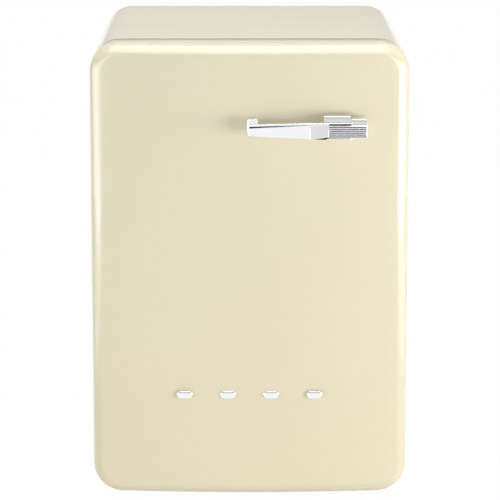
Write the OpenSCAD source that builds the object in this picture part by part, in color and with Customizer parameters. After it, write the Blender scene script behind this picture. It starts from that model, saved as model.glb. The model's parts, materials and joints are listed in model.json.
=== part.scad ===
// Small retro refrigerator, 60 cm wide, with a crowned door, an ice box and a crisper drawer.
// Millimetres. +Z is up, the door faces -Y, and the origin is on the floor, below the middle
// of the whole object with its handle.

/* [Body] */
// Width of the cabinet and of the door
body_w = 600; // [570:5:630]
// Height from the floor to the top
body_h = 885; // [865:5:925]
// Depth of the cabinet without the door
cabinet_d = 560; // [550:5:600]
// Radius of the corners seen from the front
corner_r = 55; // [45:1:60]
// Sheet thickness of the outer wrapper
shell_t = 2; // [1.5:0.25:3]
// Height of the cabinet's underside above the floor
cabinet_z = 25; // [23:1:32]
// Thickness of the front frame's sheet
frame_t = 2; // [1.5:0.25:2.5]
// Thickness of the base pan's sheet
pan_t = 2; // [1.5:0.25:3]
// Thickness of the folded rear sheet
rear_t = 1.5; // [1:0.25:2.5]

/* [Insulated walls] */
// From the outer side to the inner face of the liner
side_wall = 45; // [42:1:50]
// From the cabinet's top to the ceiling of the liner
top_wall = 47; // [42:1:55]
// From the cabinet's underside to the floor of the liner
floor_wall = 60; // [55:1:65]
// From the rear sheet to the inner face of the liner's back
rear_wall = 50; // [45:1:60]
// Depth of the recess behind the rear sheet, where the condenser hangs
rear_recess = 32; // [28:1:40]
// Wall thickness of the plastic liner
liner_t = 2.5; // [2:0.25:4]
// Radius of the liner's long corners
liner_r = 18; // [12:1:25]
// Width of the ledges that carry the shelves
ledge_w = 9; // [7:0.5:12]
// Height of the ledges that carry the shelves
ledge_h = 6; // [4:0.5:9]

/* [Compressor bay] */
// Depth of the bay from the cabinet's rear edge
bay_d = 190; // [184:1:200]
// Height of the bay above the cabinet's underside
bay_h = 210; // [205:1:220]
// Insulation between the bay and the inside
bay_wall = 38; // [34:1:44]
// Radius of the compressor's shell
compressor_r = 68; // [60:1:72]
// Height of the compressor's shell
compressor_h = 128; // [115:1:130]
// Sideways place of the compressor's axis
compressor_x = 95; // [70:5:120]
// Half the spacing of the compressor's four mounts
mount_half = 62; // [60:1:68]

/* [Door] */
// Height of the door's underside above the floor
door_z = 15; // [12:1:20]
// Thickness of the door at its edges
door_edge_t = 62; // [58:1:70]
// How far the middle of the door bulges past its edges
door_crown = 18; // [10:1:24]
// Radius that rounds the front edge of the door
door_edge_r = 22; // [16:1:26]
// Gap between the door and the cabinet
door_gap = 12; // [11:0.5:14]
// Wall thickness of the door's outer skin
skin_t = 2; // [1.5:0.25:3]
// Wall thickness of the door's inner liner
door_liner_t = 2; // [1.5:0.25:3]
// From the side of the door to the outer edge of the gasket
gasket_inset = 26; // [25:0.5:28]
// Width of the gasket
gasket_w = 16; // [12:0.5:16]
// Width of the ridge on the door liner
ridge_w = 20; // [16:1:24]
// How far the ridge stands out from the door liner
ridge_d = 35; // [30:1:40]
// From the side of the cabinet's opening to the ridge
ridge_inset = 23; // [20:1:28]

/* [Hinges] */
// From the door's side to the hinge axis
hinge_side = 15; // [14:0.5:16]
// From the door's rear face to the hinge axis
hinge_back = 10; // [9:0.5:12]
// From the door's top and bottom to the middle of each hinge
hinge_end = 80; // [70:1:110]
// Radius of the hinge pins
hinge_pin_r = 4; // [3:0.25:5]
// Thickness of the hinge arms
arm_t = 5; // [4:0.5:7]
// Half the width of the hinge arms
arm_half = 7; // [6:0.5:8]
// Height of the hinge plates and of the nylon hinge blocks
hinge_plate_h = 56; // [50:1:70]
// Thickness of the hinge plates
hinge_plate_t = 2.5; // [2:0.25:3]

/* [Handle] */
// How far the handle stands out from the middle of the door
handle_d = 42; // [38:1:50]
// Left end of the handle, from the middle of the door
handle_x = -4; // [-10:1:5]
// Length of the tapered blade
blade_l = 152; // [140:1:165]
// Length of the ribbed grip
grip_l = 72; // [60:1:80]
// From the door's top to the middle of the handle
handle_drop = 158; // [140:1:185]
// Height of the blade at its left end
blade_h_left = 21; // [16:1:24]
// Height of the blade at its right end
blade_h_right = 33; // [30:1:38]
// Thickness of the blade
blade_t = 12; // [9:0.5:14]
// Height of the ribbed grip
grip_h = 25; // [20:1:28]
// Number of ribs on the grip
rib_count = 7; // [5:1:9]
// Side of the trim studs' row: distance between two studs
stud_pitch = 82.4; // [70:0.4:90]
// Length of each trim stud
stud_w = 30; // [24:1:36]
// Height of each trim stud
stud_h = 15; // [12:1:20]
// How far the trim studs stand out
stud_d = 4; // [3:0.5:6]
// Height of the trim studs above the floor
stud_z = 214; // [180:1:260]

/* [Ice box] */
// Height of the ice box
ice_h = 128; // [120:1:132]
// From each side of the liner to the ice box
ice_side_gap = 17; // [15:1:30]
// From the cabinet's front to the ice box
ice_setback = 188; // [184:1:200]
// Sheet thickness of the ice box
ice_t = 3; // [2:0.5:4]
// Gap between the ice box and the ceiling
ice_drop = 8; // [6:1:12]
// Thickness of the ice box flap
flap_t = 6; // [5:0.5:8]
// Radius of the flap's pivots
flap_pin_r = 2.5; // [2:0.25:2.75]
// Depth of the drip tray below the ice box
drip_h = 22; // [18:1:26]
// Wall thickness of the drip tray
drip_t = 2; // [1.5:0.25:3]

/* [Shelves and drawer] */
// From the cabinet's front to the shelves
shelf_setback = 108; // [106:1:120]
// Thickness of the glass
glass_t = 4; // [3:0.5:6]
// From the crisper's cover up to the lower shelf
lower_space = 132; // [120:1:140]
// From the upper shelf up to the ice box
upper_space = 157; // [152:1:168]
// Height of the shelves' front trim
trim_h = 16; // [12:1:20]
// Depth of the shelves' front trim
trim_d = 12; // [10:0.5:14]
// Height of the crisper drawer
crisper_h = 172; // [150:1:174]
// Wall thickness of the crisper drawer
crisper_t = 3; // [2:0.25:4]
// Gap between the crisper drawer and each side of the liner
crisper_side_gap = 9; // [8:1:20]
// Radius of the bottle rack's wires
rack_wire_r = 2.5; // [2:0.25:3]
// Bottles that lie side by side on the rack
rack_bottles = 4; // [3:1:5]

/* [Door bins] */
// Wall thickness of the door bins
bin_t = 2; // [1.5:0.25:3]
// Depth of the bottle and middle bins
bin_d = 100; // [85:1:103]
// Depth of the dairy bin
dairy_d = 66; // [55:1:70]
// From the liner's ceiling down to the dairy bin's underside
dairy_drop = 183; // [178:1:200]
// Height of the dairy bin
dairy_h = 78; // [65:1:80]
// From the dairy bin's underside down to the middle bin's underside
middle_drop = 205; // [180:1:225]
// Height of the middle bin
middle_h = 62; // [50:1:80]
// From the door liner's ridge up to the bottle bin's underside
bottle_lift = 5; // [4:1:20]
// Height of the bottle bin
bottle_h = 92; // [80:1:110]
// Height of the bottle rail above the bottle bin's underside
rail_up = 172; // [150:1:190]
// Radius of the bottle rail
rail_r = 3; // [2.5:0.25:4]

/* [Controls] */
// Radius of the thermostat knob
knob_r = 17; // [14:0.5:20]
// Height of the thermostat and lamp housing
control_h = 80; // [70:1:90]
// Depth of the thermostat and lamp housing, front to back
control_d = 140; // [130:1:150]
// How far the housing stands out from the liner's side
control_out = 32; // [28:1:36]
// Radius of the light switch's plunger
plunger_r = 3.5; // [3:0.25:4]
// From the cabinet's top down to the light switch
switch_drop = 185; // [150:5:230]

/* [Feet] */
// Radius of each foot's pad
foot_r = 20; // [16:1:24]
// Thickness of each foot's pad
foot_pad_h = 10; // [8:1:12]
// Radius of each foot's threaded stud
foot_stud_r = 5; // [4:0.5:6]
// From the cabinet's side to each foot's axis
foot_side = 75; // [70:1:90]
// From the cabinet's front and rear to each foot's axis
foot_end = 60; // [50:1:70]

/* [Hidden] */

// Clearances
seat_gap = 0.3;         // between pieces that rest on each other or move past each other
slide_gap = 0.5;        // round pieces that slide
run_gap = 0.05;         // round a pin or shaft in its bore
fit_gap = 0.02;         // round a pin that is pressed in
cut_past = 1;           // how far a cut runs past the face it opens

// Places along Y, from the front of the handle to the cabinet's rear edge
total_d = handle_d + door_crown + door_edge_t + door_gap + cabinet_d;
cabinet_rear = total_d / 2;
cabinet_front = cabinet_rear - cabinet_d;
door_rear = cabinet_front - door_gap;
door_edge = door_rear - door_edge_t;
door_front = door_edge - door_crown;
handle_front = door_front - handle_d;
rear_sheet = cabinet_rear - rear_recess;

// Places along Z
cabinet_h = body_h - cabinet_z;
cabinet_mid = cabinet_z + cabinet_h / 2;
door_h = body_h - door_z;
door_mid = door_z + door_h / 2;
pan_top = cabinet_z + shell_t + pan_t;

// Inside of the liner
inner_w = body_w - 2 * side_wall;
inner_bottom = cabinet_z + floor_wall;
inner_top = body_h - top_wall;
inner_h = inner_top - inner_bottom;
inner_mid = (inner_bottom + inner_top) / 2;
inner_rear = rear_sheet - rear_wall;
bay_front = cabinet_rear - bay_d;
bay_top = cabinet_z + bay_h;
hump_front = bay_front - bay_wall;
hump_top = bay_top + bay_wall;

// Crown of the door, a cylinder about an upright axis behind the door
crown_r = (body_w * body_w / 4 + door_crown * door_crown) / (2 * door_crown);
crown_axis = door_front + crown_r;
function crown_at(x) = sqrt(crown_r * crown_r - x * x) - (crown_r - door_crown);

// Hinge axis
hinge_x = -body_w / 2 + hinge_side;
hinge_y = door_rear - hinge_back;
upper_hinge_z = body_h - hinge_end;
lower_hinge_z = door_z + hinge_end;
notch_r = sqrt(pow(hinge_back + door_gap, 2) + arm_half * arm_half) + 1;
notch_h = arm_t + 3;
block_l = 28;           // how far the hinge block reaches from the door's side wall
block_screw_drop = 20;  // from the arm's middle to each screw of a hinge plate
screw_r = 2;            // radius of the hinge screws
screw_head_r = 3.5;     // radius of their countersunk heads
screw_l = 16;           // length of the hinge screws

// Ice box
ice_w = inner_w - 2 * ice_side_gap;
ice_front = cabinet_front + ice_setback;
ice_top = inner_top - ice_drop;
ice_bottom = ice_top - ice_h;
ice_rear = inner_rear - 8;
flap_y = ice_front - slide_gap - flap_t / 2;
flap_z = ice_bottom + flap_t / 2 + 1;
flap_h = ice_h - 18;
flap_w = ice_w - 2 * ice_t - 10;
flap_grip_w = 100;      // width of the finger grip on the flap
ear_w = 10;             // how far the pivot ears reach in front of the ice box
ear_h = 14;             // height of the pivot ears
tray_rim = 8;           // width of the drip tray's rim
tray_inset = 38;        // from each side of the ice box to the drip tray below its rim
tray_w = ice_w - 2 * tray_inset;
tray_front = ice_front + 6;
tray_end_gap = 26;      // from the rear of the ice box to the rear of the drip tray
tray_l = ice_rear - tray_end_gap - tray_front;
tray_top = ice_bottom - 6;
rail_lip = 2.5;         // thickness of the rails that carry the drip tray

// Shelves and drawer
shelf_front = cabinet_front + shelf_setback;
shelf_gap = 1;          // between the glass and the liner's sides
shelf_w = inner_w - 2 * shelf_gap;
shelf_rear = inner_rear - 12;
glass_front = shelf_front + trim_d - 5;
crisper_w = inner_w - 2 * crisper_side_gap;
crisper_bottom = inner_bottom + seat_gap;
crisper_rear = hump_front - 6;
cover_z = hump_top;
rack_lift = 32;         // from the crisper's cover up to the bottle rack
rack_z = cover_z + rack_lift;
lower_shelf_z = cover_z + lower_space;
upper_shelf_z = ice_bottom - upper_space;
crisper_front = shelf_front + 3;
scoop_r = 26;           // radius of the finger scoop in the drawer's front

// Door bins hang between the ridges of the door liner
ridge_out = inner_w / 2 - ridge_inset;
ridge_in = ridge_out - ridge_w;
bin_half = ridge_in - 2.5;
dairy_z = inner_top - dairy_drop;
middle_z = dairy_z - middle_drop;
bottle_z = inner_bottom + ridge_inset + ridge_w + bottle_lift;
bin_back = door_rear + seat_gap;
middle_less = 4;        // how much shallower the middle bin is than the bottle bin
lid_gap = 1;            // between the dairy lid and its bin
lid_pin_r = 2;          // radius of the dairy lid's pivots
lid_y = bin_back + 12;
lid_front = bin_back + dairy_d - 1;
lid_z = dairy_z + dairy_h - 5;
bin_front = bin_back + bin_d;
rail_z = bottle_z + rail_up;
clip_l = 26;            // length of the bottle clip
clip_x = -60;           // place of the bottle clip at rest

// Controls on the right side of the liner
control_right = inner_w / 2 - seat_gap;
control_left = inner_w / 2 - control_out;
control_setback = 145;  // from the cabinet's front to the housing
control_front = cabinet_front + control_setback;
control_bottom = upper_shelf_z + 35;
knob_y = control_front + 34;
knob_z = control_bottom + control_h / 2;
knob_l = 16;            // length of the thermostat knob
knob_shaft_r = 3;       // radius of the knob's shaft
lens_y = control_front + 68;
lens_w = 58;            // width of the lamp cover
lens_h = 52;            // height of the lamp cover
housing_t = 2;          // wall thickness of the housing
switch_x = body_w / 2 - 13;
switch_z = body_h - switch_drop;
switch_w = 14;          // width of the switch's flange
switch_flange_t = 1.5;  // thickness of the switch's flange
switch_body_l = 24;     // depth of the switch's body behind the front frame

// Compressor bay
compressor_y = bay_front + bay_d / 2 - 4;
plate_t = 3;            // thickness of the plate below the compressor
plate_lift = 6;         // height of the feet pressed into that plate
plate_top = pan_top + plate_lift + plate_t;
mount_h = 14;           // height of each rubber mount
mount_r = 10;           // radius of each rubber mount
stud_r = 3;             // radius of the studs inside the rubber mounts
compressor_z = plate_top + mount_h + seat_gap;
foot_plate_t = 4;       // thickness of the compressor's own foot plate
seam_w = 4;             // width of the seam round the compressor's shell
compressor_top = compressor_z + foot_plate_t + compressor_h;
drier_top = bay_top - 20;
drier_l = 90;           // length of the filter drier
coil_r = 2.5;           // radius of the condenser's tube
coil_y = rear_sheet + rear_t + 12;
coil_runs = 9;          // straight runs of the condenser, an odd number
coil_bottom = bay_top + 45;
coil_top = body_h - corner_r - 25;
coil_half = body_w / 2 - 70;
coil_pitch = (coil_top - coil_bottom) / (coil_runs - 1);
fin_r = 0.8;            // radius of the condenser's wires
fin_count = 22;         // wires on each face of the condenser
drain_x = 0;
drain_y = bay_front + 22;
drain_r = 8;            // radius of the drain tube
pipe_r = 4;             // radius of the suction line
pipe_room = 18;         // left free round the suction line
evaporation_left = -14; // left side of the evaporation tray
evaporation_in = 9;     // from the front of the compressor bay to the evaporation tray
evaporation_h = 26;     // height of the evaporation tray above the compressor
evaporation_t = 2;      // wall thickness of the evaporation tray
suction_x = compressor_x;
suction_y = inner_rear + 25;
suction_top = ice_bottom + ice_h / 2;
inlet_x = -body_w / 2 + 150;
inlet_w = 50;           // width of the mains inlet's flange
inlet_h = 30;           // height of the mains inlet's flange
inlet_l = 26;           // depth of the mains inlet behind its flange
inlet_lift = 19;        // from the base pan's top up to the mains inlet

// Feet
foot_x = body_w / 2 - foot_side;
foot_front_y = cabinet_front + foot_end;
foot_rear_y = cabinet_rear - foot_end;
boss_r = 11;            // radius of the threaded bosses of the base pan
boss_h = 14;            // height of the threaded bosses of the base pan

// Handle
handle_z = body_h - handle_drop;
foot_w = 18;            // width of the handle's left foot
screw_up = 21;          // from the handle's middle up to the bracket's screws
screw_reach = 5;        // how far the handle screws start in front of the skin's outside
bracket_l = 50;         // length of the bracket's raised part
bracket_over = 8;       // how far the bracket reaches behind the blade
blade_left = handle_x + 2;
blade_right = blade_left + blade_l - 4;
grip_left = blade_right;
grip_right = grip_left + grip_l;
blade_low_left = handle_z - blade_h_left / 2 + 3;
blade_high_left = blade_low_left + blade_h_left;
blade_high_right = blade_high_left + 4;
blade_low_right = blade_high_right - blade_h_right;
groove_h = 3;           // height of the groove below the blade's top lip
lip_h = 4;              // height of the blade's top lip
grip_low = blade_low_right + 3;

// Colours
enamel = "#E9E1C6";
white_plastic = "#F3F3F0";
grey_plastic = "#C9CCCE";
steel = "#B9BDC1";
dark = "#2B2C2E";
chrome = "#DADDE0";
glass = "#CFE3E0";
foam = "#E8D79A";

// Points along an arc
function arc(cx, cy, r, a0, a1, n) =
    [for (i = [0 : n]) let (a = a0 + (a1 - a0) * i / n) [cx + r * cos(a), cy + r * sin(a)]];

// Outline of a rectangle w by h with rounded corners, counterclockwise
function rounded(w, h, r, n = 10) = concat(
    arc(w / 2 - r, h / 2 - r, r, 0, 90, n),
    arc(-w / 2 + r, h / 2 - r, r, 90, 180, n),
    arc(-w / 2 + r, -h / 2 + r, r, 180, 270, n),
    arc(w / 2 - r, -h / 2 + r, r, 270, 360, n));

// Carries an outline drawn as X and Z from y0 to y1
module along_y(y0, y1)
    translate([0, y1, 0]) rotate([90, 0, 0]) linear_extrude(y1 - y0) children();

// Carries an outline drawn as Y and Z from x0 to x1
module along_x(x0, x1)
    translate([x0, 0, 0]) rotate([90, 0, 90]) linear_extrude(x1 - x0) children();

// A box between two corners
module box(low, high)
    translate(low) cube(high - low);

// A rod along Y, X or Z
module rod_y(x, z, y0, y1, r)
    translate([x, y1, z]) rotate([90, 0, 0]) cylinder(r = r, h = y1 - y0, $fn = 48);
module rod_x(y, z, x0, x1, r)
    translate([x0, y, z]) rotate([0, 90, 0]) cylinder(r = r, h = x1 - x0, $fn = 48);
module rod_z(x, y, z0, z1, r)
    translate([x, y, z0]) cylinder(r = r, h = z1 - z0, $fn = 48);

// A slab with a rounded outline seen from the front
module slab(w, h, r, mid, y0, y1)
    along_y(y0, y1) translate([0, mid]) polygon(rounded(w, h, r));

// The space inside the liner, grown by g on every closed side
module inner_space(g, y0)
    difference() {
        slab(inner_w + 2 * g, inner_h + 2 * g, liner_r + g, inner_mid, y0, inner_rear + g);
        box([-body_w, hump_front + g, 0], [body_w, cabinet_rear, hump_top - g]);
    }

// Everything behind the door's crowned face, seen from above, grown by g towards the front
module behind_crown(g)
    linear_extrude(body_h) polygon(concat(
        [for (i = [0 : 30]) let (x = body_w * (i / 30 - 0.5)) [x, door_edge - crown_at(x) - g]],
        [[body_w / 2, cabinet_front], [-body_w / 2, cabinet_front]]));

// ---- Cabinet ----

// Outer wrapper: top, sides and bottom rolled from one sheet
module cabinet_shell() color(enamel)
    difference() {
        slab(body_w, cabinet_h, corner_r, cabinet_mid, cabinet_front + frame_t, cabinet_rear);
        slab(body_w - 2 * shell_t, cabinet_h - 2 * shell_t, corner_r - shell_t, cabinet_mid,
            cabinet_front, cabinet_rear + cut_past);
        at_feet() cylinder(r = foot_stud_r + slide_gap, h = pan_top, $fn = 48);
    }

// Front face of the cabinet, which the gasket closes on
module front_frame() color(enamel)
    difference() {
        slab(body_w, cabinet_h, corner_r, cabinet_mid, cabinet_front, cabinet_front + frame_t);
        inner_space(liner_t + seat_gap, cabinet_front - cut_past);
        at_hinge_screws() rod_y(0, 0, -cut_past, frame_t + cut_past, screw_r + fit_gap);
        translate([switch_x, cabinet_front, switch_z])
            box([-switch_w / 2 + 2 - seat_gap, -cut_past, -9 - seat_gap],
                [switch_w / 2 - 2 + seat_gap, frame_t + cut_past, 9 + seat_gap]);
    }

// Places one child at each levelling foot
module at_feet()
    for (x = [-foot_x, foot_x], y = [foot_front_y, foot_rear_y])
        translate([x, y, 0]) children();

// Places one child at each hinge screw, on the front of the cabinet
module at_hinge_screws()
    for (z = [upper_hinge_z, lower_hinge_z], side = [-1, 1])
        translate([hinge_x - 1, cabinet_front, z + side * block_screw_drop]) children();

// Steel tray on the bottom with the threaded bosses and the bracket of the mains inlet
module base_pan() color(steel)
    difference() {
        union() {
            box([-body_w / 2 + corner_r, cabinet_front + frame_t + seat_gap, cabinet_z + shell_t],
                [body_w / 2 - corner_r, cabinet_rear - 2, pan_top]);
            at_feet() translate([0, 0, pan_top]) cylinder(r = boss_r, h = boss_h, $fn = 48);
            box([inlet_x - inlet_w / 2 - 8, cabinet_rear - 6, pan_top],
                [inlet_x + inlet_w / 2 + 8, cabinet_rear - 4, pan_top + inlet_h + 2 * inlet_lift - 4]);
        }
        at_feet() translate([0, 0, cabinet_z])
            cylinder(r = foot_stud_r + run_gap, h = boss_h + 10, $fn = 48);
        box([inlet_x - inlet_w / 2 + 5 - seat_gap, cabinet_rear - 8, pan_top + 24 - seat_gap],
            [inlet_x + inlet_w / 2 - 5 + seat_gap, cabinet_rear, pan_top + 14 + inlet_h + seat_gap]);
    }

// Folded sheet that closes the foam at the back and over the compressor bay
module rear_panel() color(steel)
    intersection() {
        along_x(-body_w / 2, body_w / 2) polygon([
            [rear_sheet, body_h], [rear_sheet, bay_top],
            [bay_front, bay_top], [bay_front, pan_top + seat_gap],
            [bay_front + rear_t, pan_top + seat_gap], [bay_front + rear_t, bay_top - rear_t],
            [rear_sheet + rear_t, bay_top - rear_t], [rear_sheet + rear_t, body_h]]);
        difference() {
            slab(body_w - 2 * shell_t - 2 * seat_gap, cabinet_h - 2 * shell_t - 2 * seat_gap,
                corner_r - shell_t - seat_gap, cabinet_mid, cabinet_front, cabinet_rear);
            rod_z(drain_x, drain_y, bay_top - 10, bay_top + 10, drain_r + slide_gap);
            rod_z(suction_x, suction_y, bay_top - 10, bay_top + 10, pipe_r + slide_gap);
        }
    }

// Rigid foam between the wrapper and the liner
module cabinet_insulation() color(foam)
    difference() {
        slab(body_w - 2 * shell_t - 2 * seat_gap, cabinet_h - 2 * shell_t - 2 * seat_gap,
            corner_r - shell_t - seat_gap, cabinet_mid,
            cabinet_front + frame_t + seat_gap, rear_sheet - seat_gap);
        translate([suction_x, suction_y, suction_top]) cube(4 * pipe_r, center = true);
        inner_space(liner_t + seat_gap, cabinet_front);
        box([-body_w, bay_front - seat_gap, 0], [body_w, cabinet_rear, bay_top + seat_gap]);
        box([-body_w, cabinet_front, 0], [body_w, cabinet_rear, pan_top + seat_gap]);
        at_feet() cylinder(r = boss_r + slide_gap, h = pan_top + boss_h + 3, $fn = 48);
        at_hinge_screws() rod_y(0, 0, 0, screw_l + 1, screw_r + slide_gap);
        translate([switch_x, cabinet_front, switch_z])
            box([-switch_w / 2 + 1, 0, -10], [switch_w / 2 - 1, switch_body_l + 2, 10]);
        rod_z(drain_x, drain_y, 0, hump_top, drain_r + slide_gap);
        translate([suction_x, 0, 0]) {
            rod_z(0, suction_y, 0, suction_top + 4, pipe_r + slide_gap);
            rod_y(0, suction_top, inner_rear, suction_y + 4, pipe_r + slide_gap);
        }
    }

// Moulded inside of the cabinet with the shelf ledges
module inner_liner() color(white_plastic)
    difference() {
        union() {
            difference() {
                inner_space(liner_t, cabinet_front);
                inner_space(0, cabinet_front - cut_past);
            }
            for (side = [-1, 1]) {
                for (z = [lower_shelf_z, upper_shelf_z, rack_z])
                    ledge(side, z, inner_rear + 1);
                ledge(side, cover_z, hump_front + 1);
            }
        }
        rod_z(drain_x, drain_y, hump_top - 10, hump_top + 10, drain_r + seat_gap);
        rod_y(suction_x, suction_top, inner_rear - 10, inner_rear + 10, pipe_r + seat_gap);
    }

// Ledge whose top is at height z, on the left (-1) or right (1) side of the liner
module ledge(side, z, rear) {
    near = side * (inner_w / 2 - ledge_w);
    far = side * (inner_w / 2 + liner_t / 2);
    box([min(near, far), shelf_front + 20, z - ledge_h], [max(near, far), rear, z]);
}

// Aluminium evaporator, bent into a box that hangs from the ceiling
module ice_box() color(steel) {
    mid = (ice_top + ice_bottom) / 2;
    difference() {
        union() {
            slab(ice_w, ice_h, 14, mid, ice_front, ice_rear);
            for (side = [-1, 1]) {
                x = side * (ice_w / 2 - ice_t / 2);
                box([x - ice_t / 2, ice_front - ear_w, flap_z - ear_h / 2],
                    [x + ice_t / 2, ice_front + 20, flap_z + ear_h / 2]);
                for (y = [ice_front + 30, ice_rear - 30])
                    rod_z(side * (ice_w / 2 - 40), y, ice_top - 1, inner_top - seat_gap, 6);
                tray_rail(side);
            }
        }
        slab(ice_w - 2 * ice_t, ice_h - 2 * ice_t, 11, mid, ice_front - ear_w - cut_past,
            ice_rear - ice_t);
        rod_x(flap_y, flap_z, -ice_w, ice_w, flap_pin_r + run_gap);
    }
}

// Angle that carries the rim of the drip tray
module tray_rail(side) {
    rim = tray_w / 2 + tray_rim;
    leg = [side * (rim + 1), side * (rim + 1 + rail_lip)];
    lip = [side * (tray_w / 2 + 2), side * (rim + 1)];
    low = tray_top - drip_t - seat_gap - rail_lip;
    box([min(leg), tray_front, low], [max(leg), tray_front + tray_l, ice_bottom + 1]);
    box([min(lip), tray_front, low], [max(lip), tray_front + tray_l, low + rail_lip]);
}

// Housing of the thermostat and the lamp on the right side of the liner
module control_housing() color(white_plastic)
    difference() {
        box([control_left, control_front, control_bottom],
            [control_right, control_front + control_d, control_bottom + control_h]);
        box([control_left + housing_t, control_front + housing_t, control_bottom + housing_t],
            [control_right + cut_past, control_front + control_d - housing_t,
                control_bottom + control_h - housing_t]);
        rod_x(knob_y, knob_z, control_left - cut_past, control_left + 2 * housing_t,
            knob_shaft_r + run_gap);
        box([control_left - cut_past, lens_y, knob_z - lens_h / 2],
            [control_left + 2 * housing_t, lens_y + lens_w, knob_z + lens_h / 2]);
    }

// Frosted cover of the lamp
module lamp_cover() color(glass)
    difference() {
        box([control_left - 3, lens_y + seat_gap, knob_z - lens_h / 2 + seat_gap],
            [control_left + 6, lens_y + lens_w - seat_gap, knob_z + lens_h / 2 - seat_gap]);
        box([control_left - 1, lens_y + 2, knob_z - lens_h / 2 + 2],
            [control_left + 6 + cut_past, lens_y + lens_w - 2, knob_z + lens_h / 2 - 2]);
    }

// Board with the lamp's diodes
module led_board() color("#3E8E5A") {
    x = control_left + 6 + seat_gap;
    box([x, lens_y + 1, knob_z - lens_h / 2 + 1],
        [x + 1.6, lens_y + lens_w - 1, knob_z + lens_h / 2 - 1]);
    for (z = [-15, 0, 15])
        translate([0, 0, knob_z + z])
            box([x - 1.2, lens_y + lens_w / 2 - 2.5, -2.5], [x, lens_y + lens_w / 2 + 2.5, 2.5]);
}

// Body of the door switch, clipped into the front frame
module light_switch_body() color(dark)
    translate([switch_x, cabinet_front, switch_z]) difference() {
        union() {
            box([-switch_w / 2, -switch_flange_t, -11], [switch_w / 2, 0, 11]);
            box([-switch_w / 2 + 2, -switch_flange_t, -9], [switch_w / 2 - 2, switch_body_l, 9]);
        }
        rod_y(0, 0, -5, switch_body_l - 3, plunger_r + run_gap);
    }

// A glass plate that rests on the ledges at height z
module shelf_glass(z) color(glass)
    box([-shelf_w / 2, glass_front, z + seat_gap], [shelf_w / 2, shelf_rear, z + seat_gap + glass_t]);

// Front trim that grips a glass plate at height z
module shelf_trim(z) color(white_plastic)
    difference() {
        translate([0, 0, z + seat_gap + glass_t / 2]) along_x(-shelf_w / 2, shelf_w / 2)
            translate([shelf_front + trim_d / 2, 0]) polygon(rounded(trim_d, trim_h, 3, 5));
        box([-body_w, glass_front - seat_gap, z], [body_w, shelf_rear, z + glass_t + 2 * seat_gap]);
    }

module lower_glass_shelf() shelf_glass(lower_shelf_z);
module lower_shelf_trim() shelf_trim(lower_shelf_z);
module upper_glass_shelf() shelf_glass(upper_shelf_z);
module upper_shelf_trim() shelf_trim(upper_shelf_z);

// Chromed wire rack with a pair of wires below each bottle
module bottle_rack() color(chrome) {
    r = rack_wire_r;
    z = rack_z + seat_gap + r;
    side = shelf_w / 2 - 2 * r;
    front = shelf_front + 22;
    pitch = 2 * side / rack_bottles;
    for (x = [-side, side])
        rod_y(x, z, front - r, shelf_rear, r);
    for (y = [front + 10, (front + shelf_rear) / 2, shelf_rear - 10])
        rod_x(y, z, -side - r, side + r, 0.8 * r);
    for (i = [0 : rack_bottles - 1], dx = [-0.22, 0.22])
        rod_y(-side + (i + 0.5 + dx) * pitch, z + 1.4 * r, front, shelf_rear - 4, r);
    rod_x(front - r, z + 4, -side - r, side + r, r);
}

// Glass cover of the crisper drawer
module crisper_cover() color(glass)
    box([-shelf_w / 2, glass_front + 6, cover_z + seat_gap],
        [shelf_w / 2, drain_y - 20, cover_z + seat_gap + glass_t]);

// Tube that leads melt water from the liner into the compressor bay
module drain_tube() color(grey_plastic)
    difference() {
        union() {
            rod_z(drain_x, drain_y, bay_top - 16, hump_top, drain_r);
            rod_z(drain_x, drain_y, hump_top + seat_gap, hump_top + seat_gap + 1.5, drain_r + 5);
            rod_z(drain_x, drain_y, hump_top - 1, hump_top + 1, drain_r);
        }
        rod_z(drain_x, drain_y, bay_top - 17, hump_top + 3, drain_r - 2);
    }

// Tray on the compressor where the melt water evaporates
module evaporation_tray() color(dark) {
    low = [evaporation_left, bay_front + evaporation_in, compressor_top + seat_gap];
    high = [compressor_x - pipe_room / 2 + cut_past, suction_y - pipe_room,
        compressor_top + evaporation_h];
    wall = [evaporation_t, evaporation_t, evaporation_t];
    difference() {
        box(low, high);
        box(low + wall, high - wall + [0, 0, evaporation_t + cut_past]);
    }
}

// Hermetic compressor with its foot plate and the stub of the suction line
module compressor() color(dark)
    difference() {
        union() {
            translate([compressor_x, compressor_y, compressor_z + foot_plate_t - 1])
                rotate_extrude($fn = 96) polygon(concat(
                    [[0, 0]],
                    arc(compressor_r - 20, 20, 20, -90, 0, 8),
                    [[compressor_r, 0.45 * compressor_h], [compressor_r + seam_w, 0.45 * compressor_h],
                        [compressor_r + seam_w, 0.45 * compressor_h + 6],
                        [compressor_r, 0.45 * compressor_h + 6]],
                    arc(compressor_r - 24, compressor_h + 1 - 24, 24, 0, 90, 8),
                    [[0, compressor_h + 1]]));
            translate([compressor_x, compressor_y, 0])
                box([-mount_half - 13, -mount_half - 13, compressor_z],
                    [mount_half + 13, mount_half + 13, compressor_z + foot_plate_t]);
            rod_z(suction_x, suction_y, compressor_top - 2, compressor_top + 12, 6);
        }
        rod_z(suction_x, suction_y, compressor_top, compressor_top + 13, pipe_r + seat_gap);
        at_mounts() cylinder(r = stud_r + seat_gap, h = bay_top, $fn = 48);
    }

// Places one child at each rubber mount
module at_mounts()
    for (x = [-mount_half, mount_half], y = [-mount_half, mount_half])
        translate([compressor_x + x, compressor_y + y, 0]) children();

// Rubber mounts below the compressor
module compressor_mounts() color(dark)
    at_mounts() translate([0, 0, plate_top + seat_gap / 2]) difference() {
        cylinder(r = mount_r, h = mount_h, $fn = 48);
        translate([0, 0, -cut_past])
            cylinder(r = stud_r + seat_gap, h = mount_h + 2 * cut_past, $fn = 48);
        translate([0, 0, mount_h / 2 - 2]) difference() {
            cylinder(r = mount_r + cut_past, h = 4, $fn = 48);
            translate([0, 0, -cut_past]) cylinder(r = mount_r - 2.5, h = 6, $fn = 48);
        }
    }

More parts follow.
